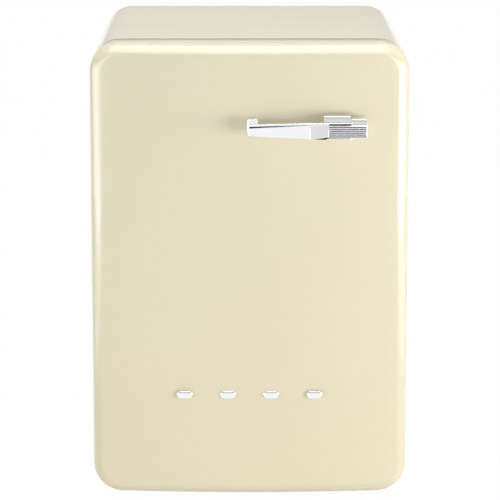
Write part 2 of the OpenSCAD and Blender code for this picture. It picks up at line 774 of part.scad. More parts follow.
// Plate with the studs that carries the compressor on the base pan
module compressor_plate() color(steel) {
    reach = mount_half + 15;
    translate([compressor_x, compressor_y, 0]) {
        box([-reach, -reach, plate_top - plate_t], [reach, reach, plate_top]);
        for (x = [-reach, reach - 16])
            box([x, -reach, pan_top], [x + 16, reach, plate_top - plate_t / 2]);
    }
    at_mounts() translate([0, 0, plate_top - 1])
        cylinder(r = stud_r, h = mount_h + foot_plate_t + 8, $fn = 48);
}

// Cover of the starting relay at the compressor's side
module relay_cover() color(dark) {
    right = compressor_x - compressor_r - seam_w - slide_gap;
    along_x(right - 32, right) translate([compressor_y, compressor_z + 40])
        polygon(rounded(56, 62, 8, 5));
}

// Path of the condenser's tube: up from the compressor, then side to side, down to the drier
coil_turn = coil_pitch / 2;
coil_out = coil_half + 18;
coil_start_z = compressor_z + 35;
coil_path = concat(
    [[compressor_x + compressor_r + seat_gap, compressor_y, coil_start_z],
        [coil_out - 8, compressor_y, coil_start_z], [coil_out, compressor_y + 8, coil_start_z],
        [coil_out, coil_y - 8, coil_start_z], [coil_out, coil_y, coil_start_z + 8],
        [coil_out, coil_y, coil_top - 10], [coil_out - 10, coil_y, coil_top]],
    [for (i = [0 : coil_runs - 2]) let (
            side = i % 2 == 0 ? -1 : 1,
            z = coil_top - i * coil_pitch,
            x = side * (coil_half - coil_turn))
        for (a = [0 : 22.5 : 180])
            [x + side * coil_turn * sin(a), coil_y, z - coil_turn * (1 - cos(a))]],
    [[-coil_half + 10, coil_y, coil_bottom], [-coil_half, coil_y, coil_bottom - 10],
        [-coil_half, coil_y, drier_top + seat_gap]]);

// Direction of a path at point i, halfway between its two stretches
function unit(v) = v / norm(v);
function step_to(path, i) = let (j = max(1, min(i, len(path) - 1))) unit(path[j] - path[j - 1]);
function along(path, i) = unit(step_to(path, i) + step_to(path, i + 1));

// Rings of points round a path; each ring's zero direction u is the last one, turned with the path
function rings(path, r, sides, start) = [
    for (i = 0, u = start; i < len(path);
            i = i + 1, u = let (t = along(path, i)) unit(u - (u * t) * t))
        let (v = cross(along(path, i), u))
        for (k = [0 : sides - 1]) let (a = 360 * k / sides)
            path[i] + r * cos(a) * u + r * sin(a) * v];

// A closed tube of radius r along a path; start is square to the path's first stretch
module tube(path, r, start, sides = 8) {
    n = len(path);
    polyhedron(
        points = rings(path, r, sides, start),
        faces = concat(
            [[for (k = [0 : sides - 1]) k]],
            [for (i = [0 : n - 2], k = [0 : sides - 1]) let (
                    a = i * sides + k, b = i * sides + (k + 1) % sides)
                each [[a, a + sides, b], [b, a + sides, b + sides]]],
            [[for (k = [sides - 1 : -1 : 0]) (n - 1) * sides + k]]));
}

// Condenser tube
module condenser_coil() color(dark) tube(coil_path, coil_r, [0, 0, 1]);

// Upright wires on both faces of the condenser
module condenser_wires() color(dark) {
    reach = coil_half - coil_turn - 6;
    for (i = [0 : fin_count - 1], side = [-1, 1])
        rod_z(-reach + 2 * reach * (i + (side + 1) / 4) / (fin_count - 0.5),
            coil_y + side * (coil_r + fin_r + 0.1), coil_bottom - 12, coil_top + 12, fin_r);
}

// Copper filter drier below the end of the condenser
module filter_drier() color("#B87A4E")
    translate([-coil_half, coil_y, drier_top - drier_l]) rotate_extrude($fn = 48)
        polygon([[0, 0], [3, 0], [9, 12], [9, drier_l - 12], [4, drier_l], [0, drier_l]]);

// Line from the ice box down to the compressor
module suction_line() color("#B87A4E")
    tube([[suction_x, ice_rear + seat_gap, suction_top], [suction_x, suction_y - 5, suction_top],
        [suction_x, suction_y, suction_top - 5], [suction_x, suction_y, compressor_top + 0.5]],
        pipe_r, [0, 0, 1], 12);

// Three-pin appliance inlet in its bracket
module mains_inlet() color(dark)
    translate([inlet_x, cabinet_rear - 4, pan_top + inlet_lift + inlet_h / 2]) {
        difference() {
            union() {
                box([-inlet_w / 2 - 4, 0, -inlet_h / 2 - 1], [inlet_w / 2 + 4, 2, inlet_h / 2 + 1]);
                box([-inlet_w / 2 + 5, -inlet_l, -inlet_h / 2 + 5],
                    [inlet_w / 2 - 5, 0, inlet_h / 2 - 5]);
            }
            box([-inlet_w / 2 + 12, 8 - inlet_l, -inlet_h / 2 + 7],
                [inlet_w / 2 - 12, 3, inlet_h / 2 - 7]);
        }
        for (x = [-7, 0, 7])
            box([x - 1, 6 - inlet_l, x == 0 ? 0 : -3], [x + 1, -3, x == 0 ? 6 : 3]);
    }

// ---- Door ----

// Upper half of the door's outline, inset by g, from its right side over the top to its left
// side; the top edge is divided evenly so that it can follow the crown
crown_steps = 20;
function half_outline(g) = let (w = body_w / 2 - g, h = door_h / 2 - g, r = corner_r - g)
    concat(arc(w - r, h - r, r, 0, 90, 8),
        [for (i = [1 : crown_steps - 1]) [(w - r) * (1 - 2 * i / crown_steps), h]],
        arc(-w + r, h - r, r, 90, 180, 8));
function door_outline(g) = let (top = half_outline(g), n = len(top))
    concat(top, [for (i = [n - 1 : -1 : 0]) [top[i].x, -top[i].y]]);

// One ring of the pillow: the outline inset by g, at depth y, following the crown if bent is 1
function pillow_ring(g, y, bent) =
    [for (p = door_outline(g)) [p.x, y - bent * crown_at(p.x), door_mid + p.y]];

// The door's crowned body as a closed solid, inset by g, from its flat back at y_back
edge_steps = 6;
module pillow(g, y_back) {
    r = door_edge_r - g;
    rounds = [for (i = [0 : edge_steps]) let (a = 90 * i / edge_steps)
        pillow_ring(g + r * (1 - cos(a)), door_edge + door_edge_r - r * sin(a), 1)];
    all = concat([pillow_ring(g, y_back, 0)], rounds);
    n = len(all[0]);
    last = (len(all) - 1) * n;
    polyhedron(
        points = [for (one = all) each one],
        faces = concat(
            [for (i = [0 : len(all) - 2], k = [0 : n - 1]) let (
                    a = i * n + k, b = i * n + (k + 1) % n)
                each [[a, a + n, b], [b, a + n, b + n]]],
            [for (k = [0 : n / 2 - 2]) let (q = n - 1 - k)
                each [[k, k + 1, q], [k + 1, q - 1, q]]],
            [for (k = [0 : n / 2 - 2]) let (q = n - 1 - k)
                each [[last + k, last + k + 1, last + q],
                    [last + k + 1, last + q - 1, last + q]]]));
}

// Room that a hinge arm needs inside the door, open towards the door's side and back
module hinge_notch()
    for (z = [upper_hinge_z, lower_hinge_z])
        intersection() {
            rod_z(hinge_x, hinge_y, z - notch_h / 2, z + notch_h / 2, notch_r);
            box([hinge_x - 2 * notch_r, hinge_y - notch_r, 0],
                [hinge_x + arm_half + 1.5, door_rear + cut_past, body_h]);
        }

// Outline of the nylon hinge blocks seen from above, grown by g
module hinge_block_space(g)
    for (z = [upper_hinge_z, lower_hinge_z])
        box([-body_w / 2 + skin_t + seat_gap - g, hinge_y - 18 - g, z - hinge_plate_h / 2 - g],
            [-body_w / 2 + skin_t + seat_gap + block_l + g, door_rear - door_liner_t - seat_gap + g,
                z + hinge_plate_h / 2 + g]);

// Crowned outer skin of the door, open at the back
module door_skin() color(enamel)
    difference() {
        pillow(0, door_rear);
        pillow(skin_t, door_rear + cut_past);
        hinge_notch();
        at_handle_screws() rod_y(0, 0, 0, 2 * screw_reach + skin_t, screw_r + seat_gap);
    }

// Places one child at each handle screw, on the front face of the door
handle_screw_places = [[handle_x + foot_w / 2 - 1, handle_z + screw_up / 2],
    [grip_left + bracket_over, handle_z + screw_up],
    [grip_left + bracket_l - 2 * bracket_over, handle_z + screw_up]];
module at_handle_screws()
    for (p = handle_screw_places) translate([p.x, door_edge - crown_at(p.x) - screw_reach, p.y]) children();

// Foam inside the door
module door_insulation() color(foam)
    difference() {
        pillow(skin_t + seat_gap, door_rear - door_liner_t - seat_gap);
        hinge_block_space(seat_gap);
        at_handle_screws() rod_y(0, 0, 0, 3 * screw_reach + skin_t, screw_head_r + 1.5);
    }

// Inside face of the door with the ridge that holds the bins
module door_liner() color(white_plastic)
    difference() {
        union() {
            slab(body_w - 2 * skin_t - 2 * seat_gap, door_h - 2 * skin_t - 2 * seat_gap,
                corner_r - skin_t - seat_gap, door_mid, door_rear - door_liner_t, door_rear);
            difference() {
                ridge(0, ridge_d);
                translate([0, -door_liner_t, 0]) ridge(door_liner_t, ridge_d);
            }
        }
        hinge_notch();
    }

// The rectangular ridge of the door liner, made thinner by g on both sides
module ridge(g, depth)
    difference() {
        slab(2 * ridge_out - 2 * g, inner_h - 2 * ridge_inset - 2 * g, liner_r - g, inner_mid,
            door_rear - door_liner_t / 2, door_rear + depth);
        slab(2 * ridge_in + 2 * g, inner_h - 2 * ridge_inset - 2 * ridge_w + 2 * g, 8 + g, inner_mid,
            door_rear - door_liner_t, door_rear + depth + cut_past);
    }

// Magnetic gasket that closes on the front frame
module door_gasket() color(grey_plastic)
    difference() {
        slab(body_w - 2 * gasket_inset, inner_h + 2 * (side_wall - gasket_inset),
            liner_r + 12, inner_mid, door_rear, cabinet_front - seat_gap);
        slab(body_w - 2 * gasket_inset - 2 * gasket_w,
            inner_h + 2 * (side_wall - gasket_inset) - 2 * gasket_w, liner_r + 2, inner_mid,
            door_rear - cut_past, cabinet_front);
    }

// Steel hinge bracket at height z: a plate on the cabinet with an arm that holds the pin
module hinge_bracket(z) color(steel)
    difference() {
        union() {
            box([-body_w / 2 + 3, cabinet_front - hinge_plate_t, z - hinge_plate_h / 2],
                [hinge_x + arm_half + 2, cabinet_front, z + hinge_plate_h / 2]);
            box([hinge_x - arm_half, hinge_y, z - arm_t / 2],
                [hinge_x + arm_half, cabinet_front - 1, z + arm_t / 2]);
            rod_z(hinge_x, hinge_y, z - arm_t / 2, z + arm_t / 2, arm_half);
        }
        rod_z(hinge_x, hinge_y, z - arm_t, z + arm_t, hinge_pin_r + fit_gap);
        at_hinge_screws() {
            rod_y(0, 0, -10, 10, screw_r + seat_gap);
            countersink(seat_gap);
        }
    }
module upper_hinge_bracket() hinge_bracket(upper_hinge_z);
module lower_hinge_bracket() hinge_bracket(lower_hinge_z);

// Head of a countersunk hinge screw, grown by g
module countersink(g)
    translate([0, -hinge_plate_t - 0.01, 0]) rotate([-90, 0, 0])
        cylinder(r1 = screw_head_r + g, r2 = screw_r, h = screw_head_r + g - screw_r, $fn = 48);

// Hinge pins, pressed into the arms
module hinge_pins() color(chrome)
    for (z = [upper_hinge_z, lower_hinge_z])
        rod_z(hinge_x, hinge_y, z - hinge_plate_h / 2 + 6, z + hinge_plate_h / 2 - 6, hinge_pin_r);

// Screws of the hinge plates
module hinge_screws() color(chrome)
    at_hinge_screws() {
        rod_y(0, 0, -hinge_plate_t + 0.5, screw_l, screw_r);
        translate([0, 0.2, 0]) countersink(0);
    }

// Nylon blocks in the door that turn on the hinge pins
module hinge_blocks() color(white_plastic)
    difference() {
        hinge_block_space(0);
        hinge_notch();
        rod_z(hinge_x, hinge_y, 0, body_h, hinge_pin_r + run_gap);
    }

// ---- Handle and trim ----

// Left foot of the handle, a post between the door and the blade
module handle_foot() color(chrome)
    difference() {
        along_y(handle_front + blade_t + seat_gap, door_edge)
            polygon([[handle_x, blade_low_left + 4], [handle_x + foot_w, blade_low_left + 4],
                [handle_x + foot_w, blade_high_left + 5], [handle_x + 3, blade_high_left + 8],
                [handle_x, blade_high_left + 5]]);
        behind_crown(seat_gap);
        at_handle_screws() rod_y(0, 0, -8, 20, screw_r + fit_gap);
    }

// Tapered blade with a top lip above a groove
module handle_blade() color(chrome) {
    along_y(handle_front + 3, handle_front + blade_t)
        polygon([[blade_left, blade_low_left], [blade_right, blade_low_right],
            [blade_right, blade_high_right - 1], [blade_left, blade_high_left - 1]]);
    along_y(handle_front, handle_front + 3 + seat_gap)
        polygon([[blade_left + 1, blade_low_left + 2], [blade_right, blade_low_right + 2],
            [blade_right, blade_high_right - lip_h - groove_h],
            [blade_left + 1, blade_high_left - lip_h - groove_h]]);
    along_y(handle_front, handle_front + blade_t)
        polygon([[blade_left, blade_high_left - lip_h], [blade_right, blade_high_right - lip_h],
            [blade_right, blade_high_right], [blade_left, blade_high_left]]);
}

// Ribbed grip at the right end of the blade
module handle_grip() color(chrome)
    difference() {
        box([grip_left + seat_gap, handle_front + 1, grip_low],
            [grip_right, handle_front + blade_t + 10, grip_low + grip_h]);
        for (i = [1 : rib_count - 1])
            translate([0, handle_front + 0.4, grip_low + i * grip_h / rib_count])
                rotate([45, 0, 0]) box([grip_left, -1, -1], [grip_right + 1, 1, 1]);
    }

// Bracket between the grip and the door
module handle_bracket() color(chrome)
    difference() {
        union() {
            box([grip_left - bracket_over, handle_front + blade_t + 2, grip_low + grip_h + seat_gap],
                [grip_left + bracket_l - bracket_over, door_edge, blade_high_right + 10]);
            box([grip_left + bracket_l - bracket_over - 1, handle_front + 6,
                    grip_low + grip_h + seat_gap],
                [grip_right, door_edge, blade_high_right + 5]);
            box([grip_left + 20, handle_front + blade_t + 10 + seat_gap, grip_low + 2],
                [grip_right - 4, door_edge, grip_low + grip_h + 1]);
        }
        behind_crown(seat_gap);
        box([grip_left - bracket_over - cut_past, handle_front, blade_low_right],
            [grip_left + seat_gap, handle_front + blade_t + seat_gap, blade_high_right + seat_gap]);
        at_handle_screws() rod_y(0, 0, -8, 20, screw_r + fit_gap);
    }

// Screws that hold the handle from inside the skin
module handle_screws() color(steel)
    at_handle_screws() {
        rod_y(0, 0, -7, screw_reach + skin_t + 4, screw_r);
        rod_y(0, 0, screw_reach + skin_t + 0.8, screw_reach + skin_t + 4, screw_head_r);
    }

// Row of four plain rounded studs
module trim_studs() color(chrome)
    difference() {
        for (i = [-1.5, -0.5, 0.5, 1.5])
            translate([i * stud_pitch, 0, stud_z]) {
                y = door_edge - crown_at(i * stud_pitch) - stud_d;
                along_y(y, door_edge) polygon(rounded(stud_w - 3, stud_h - 3, stud_h / 2 - 1.6, 6));
                along_y(y + 1.5, door_edge) polygon(rounded(stud_w, stud_h, stud_h / 2 - 0.1, 6));
            }
        behind_crown(seat_gap);
    }

// ---- Door bins ----

// Open bin between two depths and two heights, with a lower front if front_h is given
module bin(depth, z, h, half, front_h) {
    difference() {
        translate([0, 0, z]) linear_extrude(h) translate([0, bin_back + depth / 2])
            polygon(rounded(2 * half, depth, 8, 5));
        translate([0, 0, z + bin_t]) linear_extrude(h) translate([0, bin_back + depth / 2])
            polygon(rounded(2 * half - 2 * bin_t, depth - 2 * bin_t, 8 - bin_t, 5));
        box([-half - cut_past, bin_back + depth / 2, z + front_h],
            [half + cut_past, bin_back + depth + cut_past, z + h + cut_past]);
    }
    for (side = [-1, 1]) {
        near = side * (half - bin_t / 2);
        far = side * (ridge_in - seat_gap);
        box([min(near, far), bin_back + 6, z + 8], [max(near, far), bin_back + 22, z + 26]);
    }
}

module middle_bin() color(glass) bin(bin_d - middle_less, middle_z, middle_h, bin_half, 44);
module bottle_bin() color(glass) bin(bin_d, bottle_z, bottle_h, bin_half, 74);

// Dairy bin with an open front and top, which its lid closes
module dairy_bin() color(glass) {
    difference() {
        bin(dairy_d, dairy_z, dairy_h, bin_half, 14);
        rod_x(lid_y, lid_z, -bin_half - 1, bin_half + 1, lid_pin_r + run_gap);
    }
}

// Curved lid of the dairy bin, with a pivot at each end
module dairy_lid() color(glass) {
    half = bin_half - bin_t - seat_gap;
    front = lid_front;
    along_x(-half, half) polygon(concat(
        [[lid_y - 3, lid_z + 3]],
        arc(front - 16, lid_z + 3 - 16, 16, 90, 0, 8),
        [[front, dairy_z + 14 + lid_gap], [front - bin_t, dairy_z + 14 + lid_gap]],
        arc(front - 16, lid_z + 3 - 16, 16 - bin_t, 0, 90, 8),
        [[lid_y - 3, lid_z + 3 - bin_t]]));
    for (side = [-1, 1]) {
        near = side * (half - 2);
        far = side * half;
        along_x(min(near, far), max(near, far)) polygon(concat(
            arc(lid_y, lid_z, 3, 120, 300, 8),
            [[front - bin_t, dairy_z + 30], [front - bin_t / 2, lid_z - 13],
                [front - 16, lid_z + 2.5], [lid_y, lid_z + 2.5]]));
        rod_x(lid_y, lid_z, min(near, side * (bin_half - 0.2)), max(near, side * (bin_half - 0.2)),
            lid_pin_r);
    }
}

// Tray for eggs that stands in the middle bin
egg_r = 17;             // radius of the opening for each egg
egg_pitch = 42;         // from one egg to the next
egg_count = 4;          // eggs in each of the two rows
egg_tray_l = egg_pitch * egg_count + 12;
egg_tray_d = 84;        // depth of the egg tray
egg_tray_h = 26;        // height of the egg tray
egg_tray_t = 2;         // wall thickness of the egg tray
module egg_tray() color(white_plastic) {
    y = bin_back + (bin_d - middle_less) / 2;
    x = -bin_half + bin_t + slide_gap + egg_tray_l / 2;
    low = middle_z + bin_t + seat_gap;
    difference() {
        translate([x, y, low]) linear_extrude(egg_tray_h)
            polygon(rounded(egg_tray_l, egg_tray_d, 8, 5));
        translate([x, y, low - cut_past]) linear_extrude(egg_tray_h + cut_past - egg_tray_t)
            polygon(rounded(egg_tray_l - 2 * egg_tray_t, egg_tray_d - 2 * egg_tray_t, 6, 5));
        for (i = [0 : egg_count - 1], side = [-1, 1])
            rod_z(x + (i - (egg_count - 1) / 2) * egg_pitch, y + side * (egg_pitch / 2 - 1),
                low, low + egg_tray_h + cut_past, egg_r);
    }
}

// Chromed rail above the bottle bin
module bottle_rail() color(chrome) {
    y = bin_front - rail_r;
    rod_x(y, rail_z, -ridge_in + seat_gap, ridge_in - seat_gap, rail_r);
    for (side = [-1, 1]) {
        near = side * (ridge_in - seat_gap);
        far = side * (ridge_in - seat_gap - 3);
        along_x(min(near, far), max(near, far)) polygon([
            [bin_back, rail_z - 9], [bin_back + 12, rail_z - 9], [y + 2 * rail_r - 3, rail_z - 4],
            [y + 2 * rail_r - 3, rail_z + 4], [bin_back + 12, rail_z + 9], [bin_back, rail_z + 9]]);
    }
}

// Clip that slides along the rail and steadies the bottles
module bottle_clip() color(white_plastic)
    difference() {
        union() {
            rod_x(bin_front - rail_r, rail_z, clip_x - clip_l / 2, clip_x + clip_l / 2, rail_r + 3);
            box([clip_x - 2, bin_back + 18, rail_z - 3], [clip_x + 2, bin_front - rail_r, rail_z + 3]);
        }
        rod_x(bin_front - rail_r, rail_z, clip_x - clip_l, clip_x + clip_l, rail_r + run_gap);
    }

// ---- Moving pieces inside the cabinet ----

// Flap of the ice box, hinged at its lower edge
module ice_box_flap() color(white_plastic) {
    along_x(-flap_w / 2, flap_w / 2) polygon(concat(
        arc(flap_y, flap_z, flap_t / 2, 180, 360, 10),
        [[flap_y + flap_t / 2, flap_z + flap_h], [flap_y - flap_t / 2, flap_z + flap_h]]));
    rod_x(flap_y, flap_z, -ice_w / 2, ice_w / 2, flap_pin_r);
    box([-flap_grip_w / 2, flap_y - flap_t / 2 - 5, flap_z + flap_h - 12],
        [flap_grip_w / 2, flap_y, flap_z + flap_h - 4]);
}

// Drip tray that slides on the angles below the ice box
module drip_tray() color(grey_plastic)
    difference() {
        union() {
            box([-tray_w / 2, tray_front, tray_top - drip_h],
                [tray_w / 2, tray_front + tray_l, tray_top]);
            box([-tray_w / 2 - tray_rim, tray_front, tray_top - drip_t],
                [tray_w / 2 + tray_rim, tray_front + tray_l, tray_top]);
        }
        box([-tray_w / 2 + drip_t, tray_front + drip_t, tray_top - drip_h + drip_t],
            [tray_w / 2 - drip_t, tray_front + tray_l - drip_t, tray_top + cut_past]);
    }

// Outer form of the crisper drawer, made smaller by g on every side but the top
module crisper_form(g)
    intersection() {
        translate([0, 0, crisper_bottom + g]) linear_extrude(crisper_h)
            translate([0, (crisper_front + crisper_rear) / 2])
                polygon(rounded(crisper_w - 2 * g, crisper_rear - crisper_front - 2 * g, 12 - g, 6));
        slab(crisper_w - 2 * g, 2 * crisper_h, 12 - g, crisper_bottom + g + crisper_h,
            crisper_front - cut_past, crisper_rear + cut_past);
    }

// Drawer for vegetables on the floor of the liner, with a finger scoop in its front
module crisper_drawer() color(glass)
    difference() {
        crisper_form(0);
        crisper_form(crisper_t);
        rod_y(0, crisper_bottom + crisper_h + 8, crisper_front - 1, crisper_front + 20, scoop_r);
    }

// Thermostat knob with its shaft through the housing
module thermostat_knob() color(white_plastic) {
    difference() {
        rod_x(knob_y, knob_z, control_left - seat_gap - knob_l, control_left - seat_gap, knob_r);
        for (side = [-1, 1])
            translate([control_left - seat_gap - knob_l, knob_y, knob_z])
                box([-1, side > 0 ? 4 : -knob_r - 1, -knob_r - 1],
                    [knob_l - 5, side > 0 ? knob_r + 1 : -4, knob_r + 1]);
    }
    rod_x(knob_y, knob_z, control_left - seat_gap - 2, control_left + housing_t + 8, knob_shaft_r);
    rod_x(knob_y, knob_z, control_left + housing_t + seat_gap, control_left + housing_t + 4,
        knob_shaft_r + 3);
}

// Plunger of the light switch, which the closed door pushes in
module switch_plunger() color(white_plastic)
    rod_y(switch_x, switch_z, door_rear + seat_gap, cabinet_front + 12, plunger_r);

// ---- Levelling feet ----

// Foot at x and y: a pad with a threaded stud
module foot(x, y) color(dark)
    translate([x, y, 0]) {
        rotate_extrude($fn = 48) polygon([[0, 0], [foot_r - 1, 0], [foot_r, 1],
            [foot_r, foot_pad_h - 3], [foot_stud_r + 3, foot_pad_h], [0, foot_pad_h]]);
        cylinder(r = foot_stud_r, h = pan_top + boss_h + 2, $fn = 48);
        translate([0, 0, foot_pad_h - 1]) cylinder(r = 9, h = 6, $fn = 6);
    }
module front_left_foot() foot(-foot_x, foot_front_y);
module front_right_foot() foot(foot_x, foot_front_y);
module rear_left_foot() foot(-foot_x, foot_rear_y);
module rear_right_foot() foot(foot_x, foot_rear_y);

cabinet_shell();
front_frame();
base_pan();
rear_panel();
cabinet_insulation();
inner_liner();
ice_box();
control_housing();
lamp_cover();
led_board();
light_switch_body();
lower_glass_shelf();
lower_shelf_trim();
upper_glass_shelf();
upper_shelf_trim();
bottle_rack();
crisper_cover();
drain_tube();
evaporation_tray();
compressor();
compressor_mounts();
compressor_plate();
relay_cover();
condenser_coil();
condenser_wires();
filter_drier();
suction_line();
mains_inlet();
upper_hinge_bracket();
lower_hinge_bracket();
hinge_pins();
hinge_screws();
door_skin();
door_insulation();
door_liner();
door_gasket();
hinge_blocks();
handle_foot();
handle_blade();
handle_grip();
handle_bracket();
handle_screws();
trim_studs();
dairy_bin();
egg_tray();
middle_bin();
bottle_bin();
bottle_rail();
dairy_lid();
ice_box_flap();
drip_tray();
crisper_drawer();
thermostat_knob();
switch_plunger();
bottle_clip();
front_left_foot();
front_right_foot();
rear_left_foot();
rear_right_foot();
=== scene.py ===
import json
import math

import bpy
import numpy as np
from bpy.props import FloatProperty, FloatVectorProperty, IntProperty, PointerProperty
from bpy.types import Operator, Panel, PropertyGroup
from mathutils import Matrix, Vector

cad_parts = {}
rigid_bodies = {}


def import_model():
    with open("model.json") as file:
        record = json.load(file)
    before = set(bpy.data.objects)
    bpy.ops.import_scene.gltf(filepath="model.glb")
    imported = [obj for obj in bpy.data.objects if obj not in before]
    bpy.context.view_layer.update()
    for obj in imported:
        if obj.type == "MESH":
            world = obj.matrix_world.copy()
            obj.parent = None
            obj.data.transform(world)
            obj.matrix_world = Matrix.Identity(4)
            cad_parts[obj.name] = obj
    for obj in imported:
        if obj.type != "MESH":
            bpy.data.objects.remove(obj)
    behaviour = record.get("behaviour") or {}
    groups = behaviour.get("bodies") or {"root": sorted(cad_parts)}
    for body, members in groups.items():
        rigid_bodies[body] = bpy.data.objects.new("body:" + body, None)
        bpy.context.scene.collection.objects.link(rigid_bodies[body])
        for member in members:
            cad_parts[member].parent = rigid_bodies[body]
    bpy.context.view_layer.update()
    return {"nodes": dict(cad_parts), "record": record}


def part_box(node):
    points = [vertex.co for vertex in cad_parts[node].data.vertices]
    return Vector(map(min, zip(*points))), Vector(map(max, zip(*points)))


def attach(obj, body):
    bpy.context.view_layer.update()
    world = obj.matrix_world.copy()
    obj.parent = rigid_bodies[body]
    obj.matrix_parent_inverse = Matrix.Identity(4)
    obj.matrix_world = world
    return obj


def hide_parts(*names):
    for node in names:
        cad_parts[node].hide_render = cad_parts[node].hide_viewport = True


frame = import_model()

bl_info = {
    "name": "Mini fridge",
    "version": (1, 0, 0),
    "blender": (4, 5, 0),
    "location": "3D View > Sidebar > Fridge",
    "description": "Builds a small enamelled fridge with a crowned door round its CAD frame",
    "category": "Object",
}

MM = 0.001


# ---- Sizes and colours that a user would change ----

def length(name, description, default):
    """A length in metres as a property."""
    return FloatProperty(name=name, description=description, default=default, min=0.0,
                         unit="LENGTH", subtype="DISTANCE", precision=4)


def colour(name, description, default):
    """A colour as a property, from its linear values."""
    return FloatVectorProperty(name=name, description=description, default=default, size=3,
                               min=0.0, max=1.0, subtype="COLOR")


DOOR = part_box("door_skin")
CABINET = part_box("cabinet_shell")
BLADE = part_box("handle_blade")
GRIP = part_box("handle_grip")
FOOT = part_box("handle_foot")
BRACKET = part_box("handle_bracket")
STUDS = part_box("trim_studs")


class FridgeSizes(PropertyGroup):
    """Sizes of the fridge's cabinet, door and trim"""
    corner_radius: length("Corner radius", "Radius of the cabinet's and the door's corners", 0.055)
    edge_radius: length("Edge radius", "Radius of the roundover at the door's front edge", 0.022)
    crown: length("Door crown", "How far the door bulges forward at its middle", 0.018)
    skin: length("Sheet thickness", "Thickness of the enamelled sheet", 0.002)
    bead: length("Rolled edge", "Radius of the rolled edges of the cabinet's sheet", 0.0014)
    trim_bevel: length("Trim bevel", "Radius of the edges of the chromed pieces", 0.0012)
    rib_count: IntProperty(name="Grip ribs", description="Ribs across the handle's grip",
                           default=7, min=3, max=12)


class FridgeColours(PropertyGroup):
    """Colours of the fridge's finishes"""
    enamel: colour("Enamel", "Cream enamel of the cabinet and the door", (0.75, 0.69, 0.51))
    enamel_deep: colour("Enamel, deeper", "Slightly deeper tone in the enamel",
                        (0.735, 0.67, 0.485))
    chrome: colour("Chrome", "Polished chrome of the handle and trim", (0.93, 0.935, 0.945))
    liner: colour("Liner", "White of the inner liner", (0.83, 0.84, 0.84))
    plastic: colour("Black plastic", "Black moulded plastic", (0.022, 0.022, 0.024))
    copper: colour("Copper", "Copper of the refrigerant pipes", (0.72, 0.36, 0.22))
    foam: colour("Foam", "Yellowish insulating foam", (0.78, 0.65, 0.38))


class StageSettings(PropertyGroup):
    """Light and floor of the studio"""
    floor: colour("Floor", "Colour of the floor and the backdrop", (0.80, 0.80, 0.80))
    world_level: FloatProperty(name="World level", description="Strength of the even light",
                               default=0.48, min=0.0)
    ceiling: FloatProperty(name="Ceiling", description="Level that shiny surfaces see above",
                           default=0.45, min=0.0)
    key_power: FloatProperty(name="Key power", description="Power of each large side lamp",
                             default=33.0, min=0.0, subtype="POWER")
    top_power: FloatProperty(name="Top power", description="Power of the lamp above",
                             default=42.0, min=0.0, subtype="POWER")
    inside_power: FloatProperty(name="Inside power", description="Power of the lamp that lights "
                                "the inside of the cabinet, in front of its lens",
                                default=0.7, min=0.0, subtype="POWER")
    gloss_power: FloatProperty(name="Gloss power", description="Power of the lamp in front of "
                               "the top edge, which only the gloss of the door's enamel shows",
                               default=140.0, min=0.0, subtype="POWER")


# ---- Surfaces as whole arrays ----

def rim(half_u, half_v, arc=6, us=None, vs=None):
    """Anchor points on a rectangle and the outward direction at each, counterclockwise from its
    lower left corner. A rounded rectangle is anchor + radius * direction. The number of points on
    a level side comes first in the answer, then that on an upright side with its two corners."""
    us = np.linspace(-half_u, half_u, 2) if us is None else np.asarray(us, float)
    vs = np.array([]) if vs is None else np.asarray(vs, float)
    turn = np.linspace(0.0, math.pi / 2, arc + 1)
    angle = np.concatenate([turn - math.pi / 2, np.zeros(len(vs)), turn])
    side = np.concatenate([np.full(arc + 1, -half_v), vs, np.full(arc + 1, half_v)])
    right = np.stack([np.full(len(side), half_u), side], 1)
    right_way = np.stack([np.cos(angle), np.sin(angle)], 1)
    low = np.stack([us, np.full(len(us), -half_v)], 1)
    low_way = np.tile([0.0, -1.0], (len(us), 1))
    anchor = np.concatenate([low, right[1:], -low[1:], -right[1:-1]])
    way = np.concatenate([low_way, right_way[1:], -low_way[1:], -right_way[1:-1]])
    return len(us), len(side), anchor, way


def circle(sides):
    """The unit circle as outward directions about one point, in the form that rim gives."""
    angle = np.arange(sides) * 2 * math.pi / sides
    way = np.stack([np.cos(angle), np.sin(angle)], 1)
    return 0, 0, np.zeros((sides, 2)), way


def along(axis, flat, far):
    """Points in space from flat points (u, v) and a distance along the axis, so that u cross v
    points along it: x takes (y, z), z takes (x, y) and -y takes (x, z)."""
    u = flat[..., 0]
    v = flat[..., 1]
    far = np.broadcast_to(far, u.shape)
    if axis == "x":
        return np.stack([far, u, v], -1)
    if axis == "z":
        return np.stack([u, v, far], -1)
    return np.stack([u, -far, v], -1)


def carried(base, radius, profile, axis, centre=(0.0, 0.0), scale=1.0):
    """Rings of a profile carried round an outline: at each (inset, distance) of the profile the
    ring is anchor + (radius - inset) * direction + centre, at distance * scale on the axis."""
    anchor, way = base[2], base[3]
    profile = np.asarray(profile, float)
    reach = (radius - profile[:, 0])[:, None, None]
    flat = anchor[None] + reach * way[None] + np.asarray(centre, float)
    return along(axis, flat, profile[:, 1][:, None] * np.asarray(scale))


def strip(rings, loop=False):
    """Four-sided faces between neighbouring rings; loop joins the last ring to the first."""
    count, size = rings.shape[:2]
    ids = np.arange(count * size).reshape(count, size)
    near = ids if loop else ids[:-1]
    far = np.roll(ids, -1, 0) if loop else ids[1:]
    quads = np.stack([near, np.roll(near, -1, 1), np.roll(far, -1, 1), far], -1)
    return rings.reshape(-1, 3), quads.reshape(-1, 4).tolist()


def solid(rings, first=True, last=True):
    """Closed surface through rings, with a flat face over the first and the last ring."""
    points, faces = strip(rings)
    count, size = rings.shape[:2]
    if first:
        faces.append(list(range(size - 1, -1, -1)))
    if last:
        faces.append(list(range((count - 1) * size, count * size)))
    return points, faces


